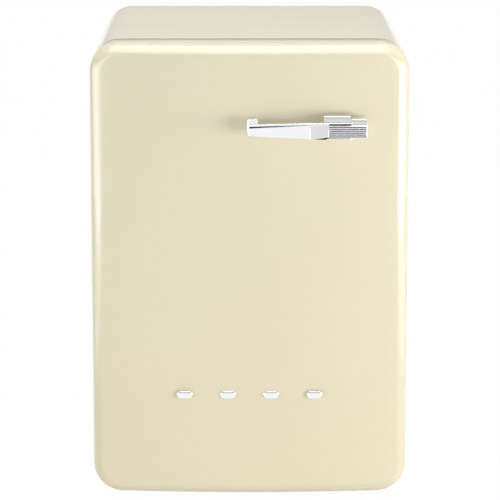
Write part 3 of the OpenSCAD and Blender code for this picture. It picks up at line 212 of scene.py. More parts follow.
def spread(base, ring, start, count, reverse=False):
    """Fills an outline with a grid: each row runs between the two upright sides, and its points
    divide it as those of the level side do. The ring's own points begin at start and the new
    ones, which come first in the answer as (u, v), at count."""
    across, up, anchor = base[:3]
    size = len(ring)
    right = np.arange(across - 1, across - 1 + up)
    top = np.arange(across + up - 2, 2 * across + up - 2)[::-1]
    left = np.roll(np.arange(size), -(2 * across + up - 3))[:up][::-1]
    index = np.zeros((up, across), int)
    index[:, 0] = left
    index[:, -1] = right
    index[0] = np.arange(across)
    index[-1] = top
    index += start
    share = (anchor[:across, 0] - anchor[0, 0]) / (anchor[across - 1, 0] - anchor[0, 0])
    first = ring[left[1:-1]]
    inner = first[:, None] + (ring[right[1:-1]] - first)[:, None] * share[None, 1:-1, None]
    index[1:-1, 1:-1] = count + np.arange((up - 2) * (across - 2)).reshape(up - 2, across - 2)
    quads = np.stack([index[:-1, :-1], index[:-1, 1:], index[1:, 1:], index[1:, :-1]], -1)
    quads = quads.reshape(-1, 4)
    return inner.reshape(-1, 2), (quads[:, ::-1] if reverse else quads).tolist()


def quarter(inset, depth, steps=5):
    """Quarter circle from (inset, 0) to (0, depth), as a share of each, from end to end."""
    turn = np.linspace(0.0, math.pi / 2, steps + 1)
    return np.stack([inset * (1 - np.sin(turn)), depth * (1 - np.cos(turn))], 1)


def eased(length_, edge, steps=4):
    """Profile of a straight wall of that length with a quarter round at each end."""
    near = quarter(edge, edge, steps)
    far = near[::-1] * [1, -1] + [0, length_]
    return np.concatenate([near, far])


def block(low, high, axis="z", radius=0.002, edge=0.001, arc=5, steps=3):
    """Box between two corners with upright corners rounded to radius and its ends eased."""
    low = np.asarray(low, float)
    high = np.asarray(high, float)
    pick = {"x": (1, 2, 0), "z": (0, 1, 2), "y": (0, 2, 1)}[axis]
    middle = (low + high) / 2
    half = (high - low) / 2
    base = rim(half[pick[0]] - radius, half[pick[1]] - radius, arc)
    start = -high[1] if axis == "y" else low[pick[2]]
    profile = eased(2 * half[pick[2]], edge, steps) + [0, start]
    return solid(carried(base, radius, profile, axis, middle[[pick[0], pick[1]]]))


def turned(profile, axis, centre=(0.0, 0.0), sides=32):
    """Surface of revolution: each (radius, distance) of the profile is a ring about the axis."""
    profile = np.asarray(profile, float) * [-1, 1]
    return solid(carried(circle(sides), 0.0, profile, axis, centre))


def rod(radius, start, end, axis, centre, sides=24, edge=0.0005):
    """Round bar between two distances on the axis, with its ends eased."""
    profile = eased(end - start, edge, 3) + [0, start]
    profile[:, 0] = radius - profile[:, 0]
    return turned(profile, axis, centre, sides)


def bent(points, radius, steps=6):
    """Path whose corners are quadratic curves that begin and end at radius from each corner."""
    points = np.asarray(points, float)
    corner = points[1:-1]
    back = points[:-2] - corner
    on = points[2:] - corner
    back = back / np.linalg.norm(back, axis=1)[:, None] * radius
    on = on / np.linalg.norm(on, axis=1)[:, None] * radius
    t = np.linspace(0.0, 1.0, steps + 1)[None, :, None]
    curve = corner[:, None] + (1 - t) ** 2 * back[:, None] + t ** 2 * on[:, None]
    return np.concatenate([points[:1], curve.reshape(-1, 3), points[-1:]])


def tube(path, radius, side, sides=10, loop=False):
    """Round section carried along a path: each ring lies across the path's direction, and its
    first point faces the given side, which the path never runs along."""
    path = np.asarray(path, float)
    if loop:
        run = np.roll(path, -1, 0) - np.roll(path, 1, 0)
    else:
        run = np.gradient(path, axis=0)
    run = run / np.linalg.norm(run, axis=1)[:, None]
    first = np.asarray(side, float) - (run @ np.asarray(side, float))[:, None] * run
    first = first / np.linalg.norm(first, axis=1)[:, None]
    second = np.cross(run, first)
    way = circle(sides)[3]
    rings = path[:, None] + radius * (way[None, :, :1] * first[:, None]
                                      + way[None, :, 1:] * second[:, None])
    return strip(rings, True) if loop else solid(rings)


def moved(part, shift):
    """A part moved by a vector."""
    return part[0] + np.asarray(shift, float), part[1]


def joined(parts):
    """One point list and one face list from several parts."""
    points = []
    faces = []
    start = 0
    for some_points, some_faces in parts:
        points.append(some_points)
        faces.extend([[start + i for i in face] for face in some_faces])
        start += len(some_points)
    return np.concatenate(points), faces


def piece(name, parts, slot, body, *nodes, crease=35.0):
    """Puts the parts into one mesh object with its finish, body and the nodes it stands for."""
    points, faces = joined(parts)
    mesh = bpy.data.meshes.new(name)
    mesh.from_pydata(points.tolist(), [], faces)
    mesh.polygons.foreach_set("use_smooth", np.ones(len(faces), bool))
    mesh.set_sharp_from_angle(angle=math.radians(crease))
    mesh.update()
    made = bpy.data.objects.new(name, mesh)
    bpy.context.scene.collection.objects.link(made)
    mesh.materials.append(finish(slot))
    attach(made, body)
    if nodes:
        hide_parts(*nodes)
    return made


# ---- Finishes ----

def link(tree, source, target):
    """Joins an output socket to an input socket, or sets the input to a plain value."""
    if isinstance(source, bpy.types.NodeSocket):
        tree.links.new(source, target)
    else:
        target.default_value = source


def put(tree, kind, inputs=(), **settings):
    """A new node with its settings, and its inputs set or linked by name or number."""
    made = tree.nodes.new(kind)
    for key, value in settings.items():
        setattr(made, key, value)
    for key, value in dict(inputs).items():
        link(tree, value, made.inputs[key])
    return made


def effect(name, inputs, outputs):
    """A new shader node group with sockets given as (name, kind, default)."""
    tree = bpy.data.node_groups.new(name, "ShaderNodeTree")
    for label, kind, default in inputs:
        socket = tree.interface.new_socket(label, in_out="INPUT", socket_type=kind)
        socket.default_value = default
    for label, kind in outputs:
        tree.interface.new_socket(label, in_out="OUTPUT", socket_type=kind)
    return tree, tree.nodes.new("NodeGroupInput").outputs, tree.nodes.new("NodeGroupOutput").inputs


VALUE = "NodeSocketFloat"
COLOUR = "NodeSocketColor"
VECTOR = "NodeSocketVector"


def two_tones():
    """Colour that drifts between two tones in soft clouds, with a little fine mottling."""
    tree, given, out = effect("Two tones", [
        ("Tone A", COLOUR, (1, 1, 1, 1)), ("Tone B", COLOUR, (0.9, 0.9, 0.9, 1)),
        ("Scale", VALUE, 4.0), ("Mottle", VALUE, 0.2)], [("Color", COLOUR)])
    place = put(tree, "ShaderNodeTexCoord").outputs["Object"]
    cloud = put(tree, "ShaderNodeTexNoise", {"Vector": place, "Scale": given["Scale"],
                                             "Detail": 3.0})
    fine = put(tree, "ShaderNodeMath", {0: given["Scale"], 1: 37.0}, operation="MULTIPLY")
    speck = put(tree, "ShaderNodeTexNoise", {"Vector": place, "Scale": fine.outputs[0],
                                             "Detail": 2.0})
    blend = put(tree, "ShaderNodeMix", {0: given["Mottle"], 2: cloud.outputs[0],
                                        3: speck.outputs[0]})
    ramp = put(tree, "ShaderNodeMapRange", {0: blend.outputs[0], 1: 0.38, 2: 0.62})
    mixed = put(tree, "ShaderNodeMix", {0: ramp.outputs[0], 6: given["Tone A"],
                                        7: given["Tone B"]}, data_type="RGBA")
    link(tree, mixed.outputs[2], out["Color"])
    return tree


def wiped_sheen():
    """Roughness between two values, higher where a cloth has left faint smears."""
    tree, given, out = effect("Wiped sheen", [
        ("Low", VALUE, 0.2), ("High", VALUE, 0.3), ("Scale", VALUE, 6.0)],
        [("Roughness", VALUE)])
    place = put(tree, "ShaderNodeTexCoord").outputs["Object"]
    stretch = put(tree, "ShaderNodeMapping", {"Vector": place, "Rotation": (0.3, 0.5, 0.2),
                                              "Scale": (1.0, 1.0, 0.35)})
    smear = put(tree, "ShaderNodeTexNoise", {"Vector": stretch.outputs[0],
                                             "Scale": given["Scale"], "Detail": 5.0,
                                             "Distortion": 0.6})
    ramp = put(tree, "ShaderNodeMapRange", {0: smear.outputs[0], 1: 0.35, 2: 0.7,
                                            3: given["Low"], 4: given["High"]})
    link(tree, ramp.outputs[0], out["Roughness"])
    return tree


def fine_grain():
    """Height of a fine moulded or sprayed grain, with a softer wave below it."""
    tree, given, out = effect("Fine grain", [
        ("Scale", VALUE, 400.0), ("Wave", VALUE, 0.4)], [("Height", VALUE)])
    place = put(tree, "ShaderNodeTexCoord").outputs["Object"]
    grain = put(tree, "ShaderNodeTexNoise", {"Vector": place, "Scale": given["Scale"],
                                             "Detail": 2.0})
    slow = put(tree, "ShaderNodeMath", {0: given["Scale"], 1: 0.09}, operation="MULTIPLY")
    wave = put(tree, "ShaderNodeTexNoise", {"Vector": place, "Scale": slow.outputs[0],
                                            "Detail": 1.0})
    blend = put(tree, "ShaderNodeMix", {0: given["Wave"], 2: grain.outputs[0],
                                        3: wave.outputs[0]})
    link(tree, blend.outputs[0], out["Height"])
    return tree


def brushed_lines():
    """Height of fine lines that run along one axis, which the stretch has as its small value."""
    tree, given, out = effect("Brushed lines", [
        ("Scale", VALUE, 300.0), ("Stretch", VECTOR, (0.02, 1.0, 1.0))],
        [("Height", VALUE), ("Mask", VALUE)])
    place = put(tree, "ShaderNodeTexCoord").outputs["Object"]
    pull = put(tree, "ShaderNodeVectorMath", {0: place, 1: given["Stretch"]},
               operation="MULTIPLY")
    lines = put(tree, "ShaderNodeTexNoise", {"Vector": pull.outputs[0],
                                             "Scale": given["Scale"], "Detail": 3.0})
    mask = put(tree, "ShaderNodeMapRange", {0: lines.outputs[0], 1: 0.45, 2: 0.65})
    link(tree, lines.outputs[0], out["Height"])
    link(tree, mask.outputs[0], out["Mask"])
    return tree


def settled_dust():
    """Mask of dust that settles on faces that look up, broken up by noise."""
    tree, given, out = effect("Settled dust", [("Amount", VALUE, 0.2), ("Scale", VALUE, 60.0)],
                              [("Mask", VALUE)])
    place = put(tree, "ShaderNodeTexCoord").outputs["Object"]
    facing = put(tree, "ShaderNodeSeparateXYZ", {0: put(tree, "ShaderNodeNewGeometry")
                                                 .outputs["Normal"]})
    upward = put(tree, "ShaderNodeMapRange", {0: facing.outputs[2], 1: 0.2, 2: 1.0})
    specks = put(tree, "ShaderNodeTexNoise", {"Vector": place, "Scale": given["Scale"],
                                              "Detail": 6.0})
    patch = put(tree, "ShaderNodeMapRange", {0: specks.outputs[0], 1: 0.42, 2: 0.7})
    both = put(tree, "ShaderNodeMath", {0: upward.outputs[0], 1: patch.outputs[0]},
               operation="MULTIPLY")
    scaled = put(tree, "ShaderNodeMath", {0: both.outputs[0], 1: given["Amount"]},
                 operation="MULTIPLY")
    link(tree, scaled.outputs[0], out["Mask"])
    return tree


def foam_cells():
    """Height and mask of the small closed cells of a foam."""
    tree, given, out = effect("Foam cells", [("Scale", VALUE, 500.0)],
                              [("Height", VALUE), ("Mask", VALUE)])
    place = put(tree, "ShaderNodeTexCoord").outputs["Object"]
    cells = put(tree, "ShaderNodeTexVoronoi", {"Vector": place, "Scale": given["Scale"]})
    mask = put(tree, "ShaderNodeMapRange", {0: cells.outputs["Distance"], 1: 0.1, 2: 0.6})
    link(tree, cells.outputs["Distance"], out["Height"])
    link(tree, mask.outputs[0], out["Mask"])
    return tree


EFFECTS = {"tones": two_tones, "sheen": wiped_sheen, "grain": fine_grain,
           "lines": brushed_lines, "dust": settled_dust, "cells": foam_cells}
GROUPS = {}


def placed(tree, kind, **inputs):
    """The effect of that kind in a material, with its own values."""
    if kind not in GROUPS:
        GROUPS[kind] = EFFECTS[kind]()
    made = put(tree, "ShaderNodeGroup", node_tree=GROUPS[kind])
    for key, value in inputs.items():
        link(tree, value, made.inputs[key.replace("_", " ")])
    return made.outputs


def rgba(values):
    """A colour with full alpha."""
    return (*values[:3], 1.0)


def dimmed(values, share):
    """A colour made darker to a share of itself."""
    return tuple(share * value for value in values[:3])


# Each finish: two tones and their scale, mottle, roughness from and to, its scale, the effect
# that gives the bump with its scale and height in metres, dust, and plain shader values.
GREY = (0.52, 0.53, 0.54)
WHITE = (0.80, 0.81, 0.81)
FINISHES = {
    "cream_enamel": dict(tone="enamel", other="enamel_deep", scale=1.3, mottle=0.12,
                         sheen=(0.13, 0.18, 3.0), bump=("grain", 330.0, 0.000008), dust=0.03,
                         shader={"Coat Weight": 0.25, "Coat Roughness": 0.04, "IOR": 1.4}),
    "chrome_trim": dict(tone="chrome", share=0.97, scale=14.0, mottle=0.2,
                        sheen=(0.05, 0.09, 18.0), bump=("grain", 240.0, 0.000006), dust=0.0,
                        shader={"Metallic": 1.0}),
    "galvanised_steel": dict(tone=(0.50, 0.51, 0.52), share=0.80, scale=70.0, mottle=0.35,
                             sheen=(0.30, 0.45, 40.0), bump=("lines", 240.0, 0.00004),
                             stretch=(0.03, 1.0, 1.0), dust=0.25, shader={"Metallic": 1.0}),
    "white_liner": dict(tone="liner", share=0.97, scale=2.2, mottle=0.15,
                        sheen=(0.26, 0.36, 5.0), bump=("grain", 520.0, 0.00003), dust=0.0,
                        shader={"IOR": 1.5}),
    "white_gloss": dict(tone=WHITE, share=0.965, scale=6.0, mottle=0.2,
                        sheen=(0.16, 0.24, 12.0), bump=("grain", 650.0, 0.00002), dust=0.0,
                        shader={"IOR": 1.5, "Coat Weight": 0.2}),
    "clear_plastic": dict(tone=(0.975, 0.985, 0.987), share=0.985, scale=9.0, mottle=0.2,
                          sheen=(0.03, 0.08, 9.0), bump=("grain", 180.0, 0.00002), dust=0.0,
                          shader={"Transmission Weight": 0.96, "IOR": 1.42}),
    "shelf_glass": dict(tone=(0.955, 0.985, 0.977), share=0.99, scale=7.0, mottle=0.2,
                        sheen=(0.01, 0.04, 6.0), bump=("grain", 90.0, 0.000008), dust=0.03,
                        shader={"Transmission Weight": 0.95, "IOR": 1.5}),
    "frosted_lens": dict(tone=(0.90, 0.90, 0.88), share=0.97, scale=20.0, mottle=0.3,
                         sheen=(0.35, 0.5, 30.0), bump=("lines", 900.0, 0.0001),
                         stretch=(1.0, 1.0, 0.02), dust=0.0,
                         shader={"Transmission Weight": 0.45, "IOR": 1.49}),
    "foam": dict(tone="foam", share=0.9, scale=30.0, mottle=0.4, sheen=(0.75, 0.9, 20.0),
                 bump=("cells", 480.0, 0.0006), dust=0.1, shader={}),
    "gasket_grey": dict(tone=(0.60, 0.60, 0.59), share=0.92, scale=25.0, mottle=0.3,
                        sheen=(0.42, 0.55, 20.0), bump=("grain", 900.0, 0.00005), dust=0.12,
                        shader={"IOR": 1.48}),
    "black_rubber": dict(tone=(0.030, 0.030, 0.031), share=0.75, scale=40.0, mottle=0.4,
                         sheen=(0.6, 0.78, 30.0), bump=("grain", 800.0, 0.0001), dust=0.35,
                         shader={"IOR": 1.5}),
    "black_plastic": dict(tone="plastic", share=0.8, scale=40.0, mottle=0.3,
                          sheen=(0.34, 0.46, 25.0), bump=("grain", 1100.0, 0.00006), dust=0.3,
                          shader={"IOR": 1.5}),
    "black_enamel": dict(tone=(0.026, 0.026, 0.027), share=0.75, scale=16.0, mottle=0.3,
                         sheen=(0.22, 0.36, 12.0), bump=("grain", 380.0, 0.00004), dust=0.4,
                         shader={"Coat Weight": 0.35, "Coat Roughness": 0.12}),
    "evaporator_aluminium": dict(tone=(0.62, 0.64, 0.65), share=0.85, scale=30.0, mottle=0.4,
                                 sheen=(0.32, 0.46, 22.0), bump=("lines", 200.0, 0.00008),
                                 stretch=(0.05, 1.0, 1.0), dust=0.1,
                                 shader={"Metallic": 0.9}),
    "copper": dict(tone="copper", share=0.62, scale=50.0, mottle=0.4, sheen=(0.22, 0.42, 40.0),
                   bump=("grain", 500.0, 0.00003), dust=0.15, shader={"Metallic": 1.0}),
    "circuit_board": dict(tone=(0.02, 0.13, 0.055), share=0.7, scale=160.0, mottle=0.5,
                          sheen=(0.3, 0.4, 60.0), bump=("lines", 700.0, 0.00005),
                          stretch=(1.0, 0.05, 1.0), dust=0.0, shader={"Coat Weight": 0.3}),
    "grey_plastic": dict(tone=GREY, share=0.94, scale=18.0, mottle=0.3,
                         sheen=(0.36, 0.48, 20.0), bump=("grain", 900.0, 0.00005), dust=0.1,
                         shader={"IOR": 1.5}),
    "nylon": dict(tone=(0.72, 0.71, 0.68), share=0.93, scale=30.0, mottle=0.3,
                  sheen=(0.35, 0.5, 30.0), bump=("grain", 700.0, 0.00005), dust=0.1,
                  shader={"IOR": 1.53}),
}
READY = {}


def finish(slot):
    """The material of one finish: two tones, wiped sheen, a fine bump and settled dust."""
    if slot in READY:
        return READY[slot]
    spec = FINISHES[slot]
    chosen = bpy.context.scene.fridge_colours
    tone = getattr(chosen, spec["tone"]) if isinstance(spec["tone"], str) else spec["tone"]
    other = getattr(chosen, spec["other"]) if "other" in spec else dimmed(tone, spec["share"])
    material = bpy.data.materials.new(slot)
    material.use_nodes = True
    tree = material.node_tree
    shader = next(n for n in tree.nodes if n.type == "BSDF_PRINCIPLED")
    for key, value in spec["shader"].items():
        shader.inputs[key].default_value = value
    colour_out = placed(tree, "tones", Tone_A=rgba(tone), Tone_B=rgba(other),
                        Scale=spec["scale"], Mottle=spec["mottle"])["Color"]
    low, high, size = spec["sheen"]
    rough = placed(tree, "sheen", Low=low, High=high, Scale=size)["Roughness"]
    if spec["dust"] > 0:
        mask = placed(tree, "dust", Amount=spec["dust"])["Mask"]
        dusty = put(tree, "ShaderNodeMix", {0: mask, 6: colour_out, 7: (0.42, 0.40, 0.37, 1)},
                    data_type="RGBA")
        colour_out = dusty.outputs[2]
        rougher = put(tree, "ShaderNodeMix", {0: mask, 2: rough, 3: 0.9})
        rough = rougher.outputs[0]
    link(tree, colour_out, shader.inputs["Base Color"])
    link(tree, rough, shader.inputs["Roughness"])
    kind, fine, height = spec["bump"]
    inputs = {"Scale": fine}
    if "stretch" in spec:
        inputs["Stretch"] = spec["stretch"]
    raised = placed(tree, kind, **inputs)["Height"]
    bump = put(tree, "ShaderNodeBump", {"Height": raised, "Strength": 1.0, "Distance": height})
    link(tree, bump.outputs[0], shader.inputs["Normal"])
    READY[slot] = material
    return material


# ---- Door and cabinet sheets ----

def crown_height(u, width, crown):
    """Height of the door's crown: sqrt(R^2 - u^2) - (R - crown), where a circle of radius R
    passes through the middle and both sides."""
    big = (width ** 2 / 4 + crown ** 2) / (2 * crown)
    return np.sqrt(big ** 2 - u ** 2) - (big - crown)


def pillow_rings(base, radius, profile, centre, width, crown):
    """Rings of (inset, distance, share): each is carried round the outline at that inset, and
    comes forward by that share of the crown's height above it."""
    anchor, way = base[2], base[3]
    profile = np.asarray(profile, float)
    flat = anchor[None] + (radius - profile[:, 0])[:, None, None] * way[None]
    far = profile[:, 1][:, None] + profile[:, 2][:, None] * crown_height(flat[..., 0], width,
                                                                        crown)
    return along("y", flat + np.asarray(centre, float), far)


def opened(faces, size, ring_a, ring_b, column):
    """Cuts a slot through a strip of rings: the faces of one column between two rings go, and
    two cheeks and a floor close the cut."""
    gone = {tuple([k * size + column, k * size + column + 1, (k + 1) * size + column + 1,
                   (k + 1) * size + column]) for k in range(ring_a, ring_b)}
    kept = [face for face in faces if tuple(face) not in gone]
    near = [k * size + column for k in range(ring_a, ring_b + 1)]
    kept.append(near[::-1])
    kept.append([i + 1 for i in near])
    kept.append([near[0], near[0] + 1, near[-1] + 1, near[-1]])
    return kept


class FRIDGE_OT_door_skin(Operator):
    """Makes the crowned outer skin of the door with its rounded edge and hinge slots"""
    bl_idname = "fridge.door_skin"
    bl_label = "Door skin"

    def execute(self, context):
        sizes = context.scene.fridge_sizes
        low, high = DOOR
        width = high[0] - low[0]
        middle = (low[2] + high[2]) / 2
        half_w = width / 2 - sizes.corner_radius
        half_h = (high[2] - low[2]) / 2 - sizes.corner_radius
        rear = -high[1]
        shoulder = -low[1] - sizes.crown - sizes.edge_radius
        slot_depth = 0.0289
        slot_half = 0.004
        levels = np.linspace(-half_h, half_h, 30)[1:-1]
        slots = [z - middle for z in (0.805, 0.095)]
        edges = np.sort(np.concatenate([[s - slot_half, s + slot_half] for s in slots]))
        levels = levels[np.min(np.abs(levels[:, None] - edges[None]), axis=1) > 0.009]
        levels = np.sort(np.concatenate([levels, edges]))
        base = rim(half_w, half_h, 14, np.linspace(-half_w, half_w, 33), levels)
        turn = np.linspace(0.0, math.pi / 2, 13)
        t = sizes.skin
        round_out = np.stack([sizes.edge_radius * (1 - np.cos(turn)),
                              shoulder + sizes.edge_radius * np.sin(turn), np.ones(13)], 1)
        inner = sizes.edge_radius - t
        round_in = np.stack([t + inner * (1 - np.cos(turn)), shoulder + inner * np.sin(turn),
                             np.ones(13)], 1)[::-1]
        lip = [[t, rear + slot_depth, 0], [t, rear + 0.0015, 0], [t * 0.8, rear + 0.0003, 0],
               [t * 0.5, rear, 0], [t * 0.2, rear + 0.0003, 0], [0, rear + 0.0015, 0],
               [0, rear + slot_depth, 0]]
        profile = np.concatenate([round_in, lip, round_out])
        centre = (0.0, middle)
        rings = pillow_rings(base, sizes.corner_radius, profile, centre, width, sizes.crown)
        points, faces = strip(rings)
        size = rings.shape[1]
        first_lip = len(round_in)
        last_lip = first_lip + len(lip) - 1
        left = 2 * base[0] + base[1] - 3
        down = rings[0, :, 2]
        for s in slots:
            top = s + middle + slot_half
            column = left + int(np.argmin(np.abs(down[left:size] - top)))
            faces = opened(faces, size, first_lip, last_lip, column)
        flat = rings[[0, -1]][..., [0, 2]] - [0.0, middle]
        spare = [(flat[0], 0, True, shoulder + inner), (flat[1], (len(profile) - 1) * size,
                                                        False, shoulder + sizes.edge_radius)]
        for ring, start, back, far in spare:
            inside, quads = spread(base, ring, start, len(points), back)
            lift = far + crown_height(inside[:, 0], width, sizes.crown)
            points = np.concatenate([points, along("y", inside + [0.0, middle], lift)])
            faces = faces + quads
        piece("door_enamel_skin", [(points, faces)], "cream_enamel", "door", "door_skin",
              crease=50.0)
        return {"FINISHED"}


class FRIDGE_OT_cabinet_shell(Operator):
    """Makes the wrapped outer sheet of the cabinet with rolled front and rear edges"""
    bl_idname = "fridge.cabinet_shell"
    bl_label = "Cabinet shell"

    def execute(self, context):
        sizes = context.scene.fridge_sizes
        low, high = CABINET
        middle = (low[2] + high[2]) / 2
        half_w = high[0] - sizes.corner_radius
        half_h = (high[2] - low[2]) / 2 - sizes.corner_radius
        base = rim(half_w, half_h, 16, np.linspace(-half_w, half_w, 9),
                   np.linspace(-half_h, half_h, 11)[1:-1])
        front = -low[1]
        rear = -high[1]
        t = sizes.skin
        edge = sizes.bead
        lengths = np.linspace(rear + 2 * edge, front - 2 * edge, 8)
        outer = np.stack([np.zeros(8), lengths], 1)
        fold = np.linspace(0.0, math.pi, 9)
        roll = np.stack([t / 2 - t / 2 * np.cos(fold), front - edge + edge * np.sin(fold)], 1)
        inner = outer[::-1] + [t, 0.0]
        back = np.stack([t / 2 + t / 2 * np.cos(fold), rear + edge - edge * np.sin(fold)], 1)
        profile = np.concatenate([outer, roll, inner, back])
        rings = carried(base, sizes.corner_radius, profile, "y", (0.0, middle))
        piece("cabinet_enamel_wrap", [strip(rings, True)], "cream_enamel", "cabinet",
              "cabinet_shell", crease=60.0)
        return {"FINISHED"}


# ---- Handle and trim ----

def standing(outline_, radius, profile, centre, width, crown):
    """Closed piece that stands on the crowned door: (inset, distance, share) rings, of which
    those with share 1 follow the crown."""
    return solid(pillow_rings(outline_, radius, profile, centre, width, crown))


def leaned(part, low_z, slope, front, rear):
    """Leans the front of a part back: the higher a point and the nearer to the front, the more
    it moves, by slope times its height above low_z."""
    points, faces = part
    points = np.array(points, float)
    share = np.clip((rear - points[:, 1]) / (rear - front), 0, 1)
    points[:, 1] += slope * np.clip(points[:, 2] - low_z, 0, None) * share
    return points, faces


class FRIDGE_OT_handle(Operator):
    """Makes the chromed handle: its foot, tapered blade, ribbed grip, bracket and dark pieces of
    painted shade
    """
    bl_idname = "fridge.handle"
    bl_label = "Door handle"

    fold = 112 * MM
    lip = 3.4 * MM
    gap = 2.8 * MM

    def edges(self, x):
        """Top edge, bottom edge and groove height of the blade at x: the blade grows evenly from
        left to right, its groove narrows to nothing at the fold, and past the fold the bottom
        edge rises again."""
        low, high = BLADE
        share = (x - low[0]) / (high[0] - low[0])
        past = np.clip((x - self.fold) / (high[0] - self.fold), 0, 1)
        top = high[2] - 4 * MM * (1 - share)
        bottom = low[2] + 8 * MM * (1 - share) + 6 * MM * past ** 1.3
        groove = self.gap * np.clip(1 - x / self.fold, 0.02, 1)
        return top, bottom, groove

    def blade(self):
        """Sections along the blade from its top rear corner round a lip, a groove and the main
        face to its bottom rear corner; past the fold the face leans back."""
        low, high = BLADE
        x = np.array([0.0, 0.5, 1.5, 20, 45, 70, 95, 113.2, 114.0, 114.6, 115.4, 124, 136, 146.2,
                      147.4, 148.0]) * MM + low[0]
        top, bottom, groove = self.edges(x)
        steps = np.linspace(0.0, math.pi / 2, 5)
        lean = 3.6 * MM * np.clip((x - self.fold) / (0.5 * MM), 0, 1)
        inner = 0.9 * MM + 2.4 * MM * np.sqrt(groove / self.gap)
        none = np.zeros(len(x))
        soft = 0.8 * MM
        rows = [(none + high[1] - low[1], none)]
        rows += [(none + soft * (1 - math.sin(a)), none + soft * (1 - math.cos(a)))
                 for a in steps]
        rows += [(none + soft * (1 - math.cos(a)), none + self.lip - soft * (1 - math.sin(a)))
                 for a in steps]
        rows += [(inner, none + self.lip + 0.05 * MM), (inner, self.lip + groove)]
        rows += [(lean + soft * (1 - math.sin(a)), self.lip + groove + soft * (1 - math.cos(a)))
                 for a in steps]
        rows += [(lean * 0.97, self.lip + groove + 1.8 * soft),
                 (lean * 0.03, top - bottom - 1.8 * soft)]
        rows += [(none + soft * (1 - math.cos(a)), top - bottom - soft * (1 - math.sin(a)))
                 for a in steps]
        rows += [(none + high[1] - low[1], top - bottom)]
        depth = np.stack([row[0] for row in rows], 1)
        drop = np.stack([row[1] for row in rows], 1)
        rings = np.stack([np.repeat(x[:, None], len(rows), 1), low[1] + depth,
                          top[:, None] - drop], -1)
        tight = np.ones(len(x))
        tight[[0, -1]] = 0.93
        tight[[1, -2]] = 0.98
        middle = (rings.max(axis=1, keepdims=True) + rings.min(axis=1, keepdims=True)) / 2
        rings[:, :, 1:] = (middle + (rings - middle) * tight[:, None, None])[:, :, 1:]
        return solid(rings)

    def inlay(self):
        """Painted shade: a dark filling of the groove under the lip, where there is only shade,
        and a dark strip behind the blade's cut lower edge that stands in for the dark reflection
        of its down-facing cut. Both are wedges between two curves, in front of a flat back."""
        low, high = BLADE

        def wedge(x, upper, lower, front, back):
            """Four-sided sections at each x between two heights and two depths."""
            rings = np.stack([
                np.stack([x, back, upper], 1), np.stack([x, front, upper], 1),
                np.stack([x, front, lower], 1), np.stack([x, back, lower], 1)], 1)
            return solid(rings)

        x = np.linspace(low[0] + 1.5 * MM, self.fold - 2 * MM, 12)
        top, bottom, groove = self.edges(x)
        # Painted shade: a dark wedge fills the groove under the lip.
        groove_shade = wedge(x, top - self.lip + 0.2 * MM, top - self.lip - groove - 0.2 * MM,
                       low[1] + 1.1 * MM + 0 * x, low[1] + 5 * MM + 0 * x)
        x = np.linspace(self.fold + 2 * MM, high[0] - 0.5 * MM, 8)
        top, bottom, groove = self.edges(x)
        # Painted dark reflection: a dark strip behind the down-facing cut of the lower edge.
        cut = low[2] + 8 * MM * (high[0] - x) / (high[0] - low[0]) + 0.4 * MM
        under = wedge(x, bottom + 2 * MM, np.minimum(cut, bottom), low[1] + 3 * MM + 0 * x,
                      high[1] - 1 * MM + 0 * x)
        return [groove_shade, under]

    def tail(self, far, low, high, front, thick):
        """Bar that goes on from the blade beside the grip and thins out to its end."""
        near = BLADE[1][0] - 4 * MM
        base = rim(0.5 - 0.2, 0.5 - 0.2, 3)
        x = np.array([near, near + 0.001, (near + far) / 2, far - 0.002, far])
        size = np.array([1.0, 1.0, 0.95, 0.8, 0.5])
        flat = base[2] + 0.2 * base[3]
        section = flat[None] * np.stack([thick * size, (high - low) * size], 1)[:, None]
        section = section + np.array([front + thick / 2, (low + high) / 2])
        return solid(along("x", section, x[:, None]))

    def execute(self, context):
        sizes = context.scene.fridge_sizes
        width = DOOR[1][0] - DOOR[0][0]
        skin = -DOOR[0][1] - sizes.crown
        bevel = sizes.trim_bevel
        steps = np.linspace(0.0, math.pi / 2, 5)

        def profile(front):
            """Straight wall from the door to a rounded front edge."""
            edge = np.stack([bevel * (1 - np.cos(steps)), front - bevel + bevel * np.sin(steps),
                             np.zeros(5)], 1)
            return np.concatenate([[[0, skin + 0.0001, 1]], [[0, front - 3 * bevel, 0]], edge])

        def stand(low, high, front, radius=0.0016):
            """Rounded block between two corners (x, z) that stands on the door."""
            half = (np.array(high) - low) / 2
            base = rim(half[0] - radius, half[1] - radius, 5,
                       np.linspace(radius - half[0], half[0] - radius, 5))
            return standing(base, radius, profile(front), (np.array(high) + low) / 2, width,
                            sizes.crown)

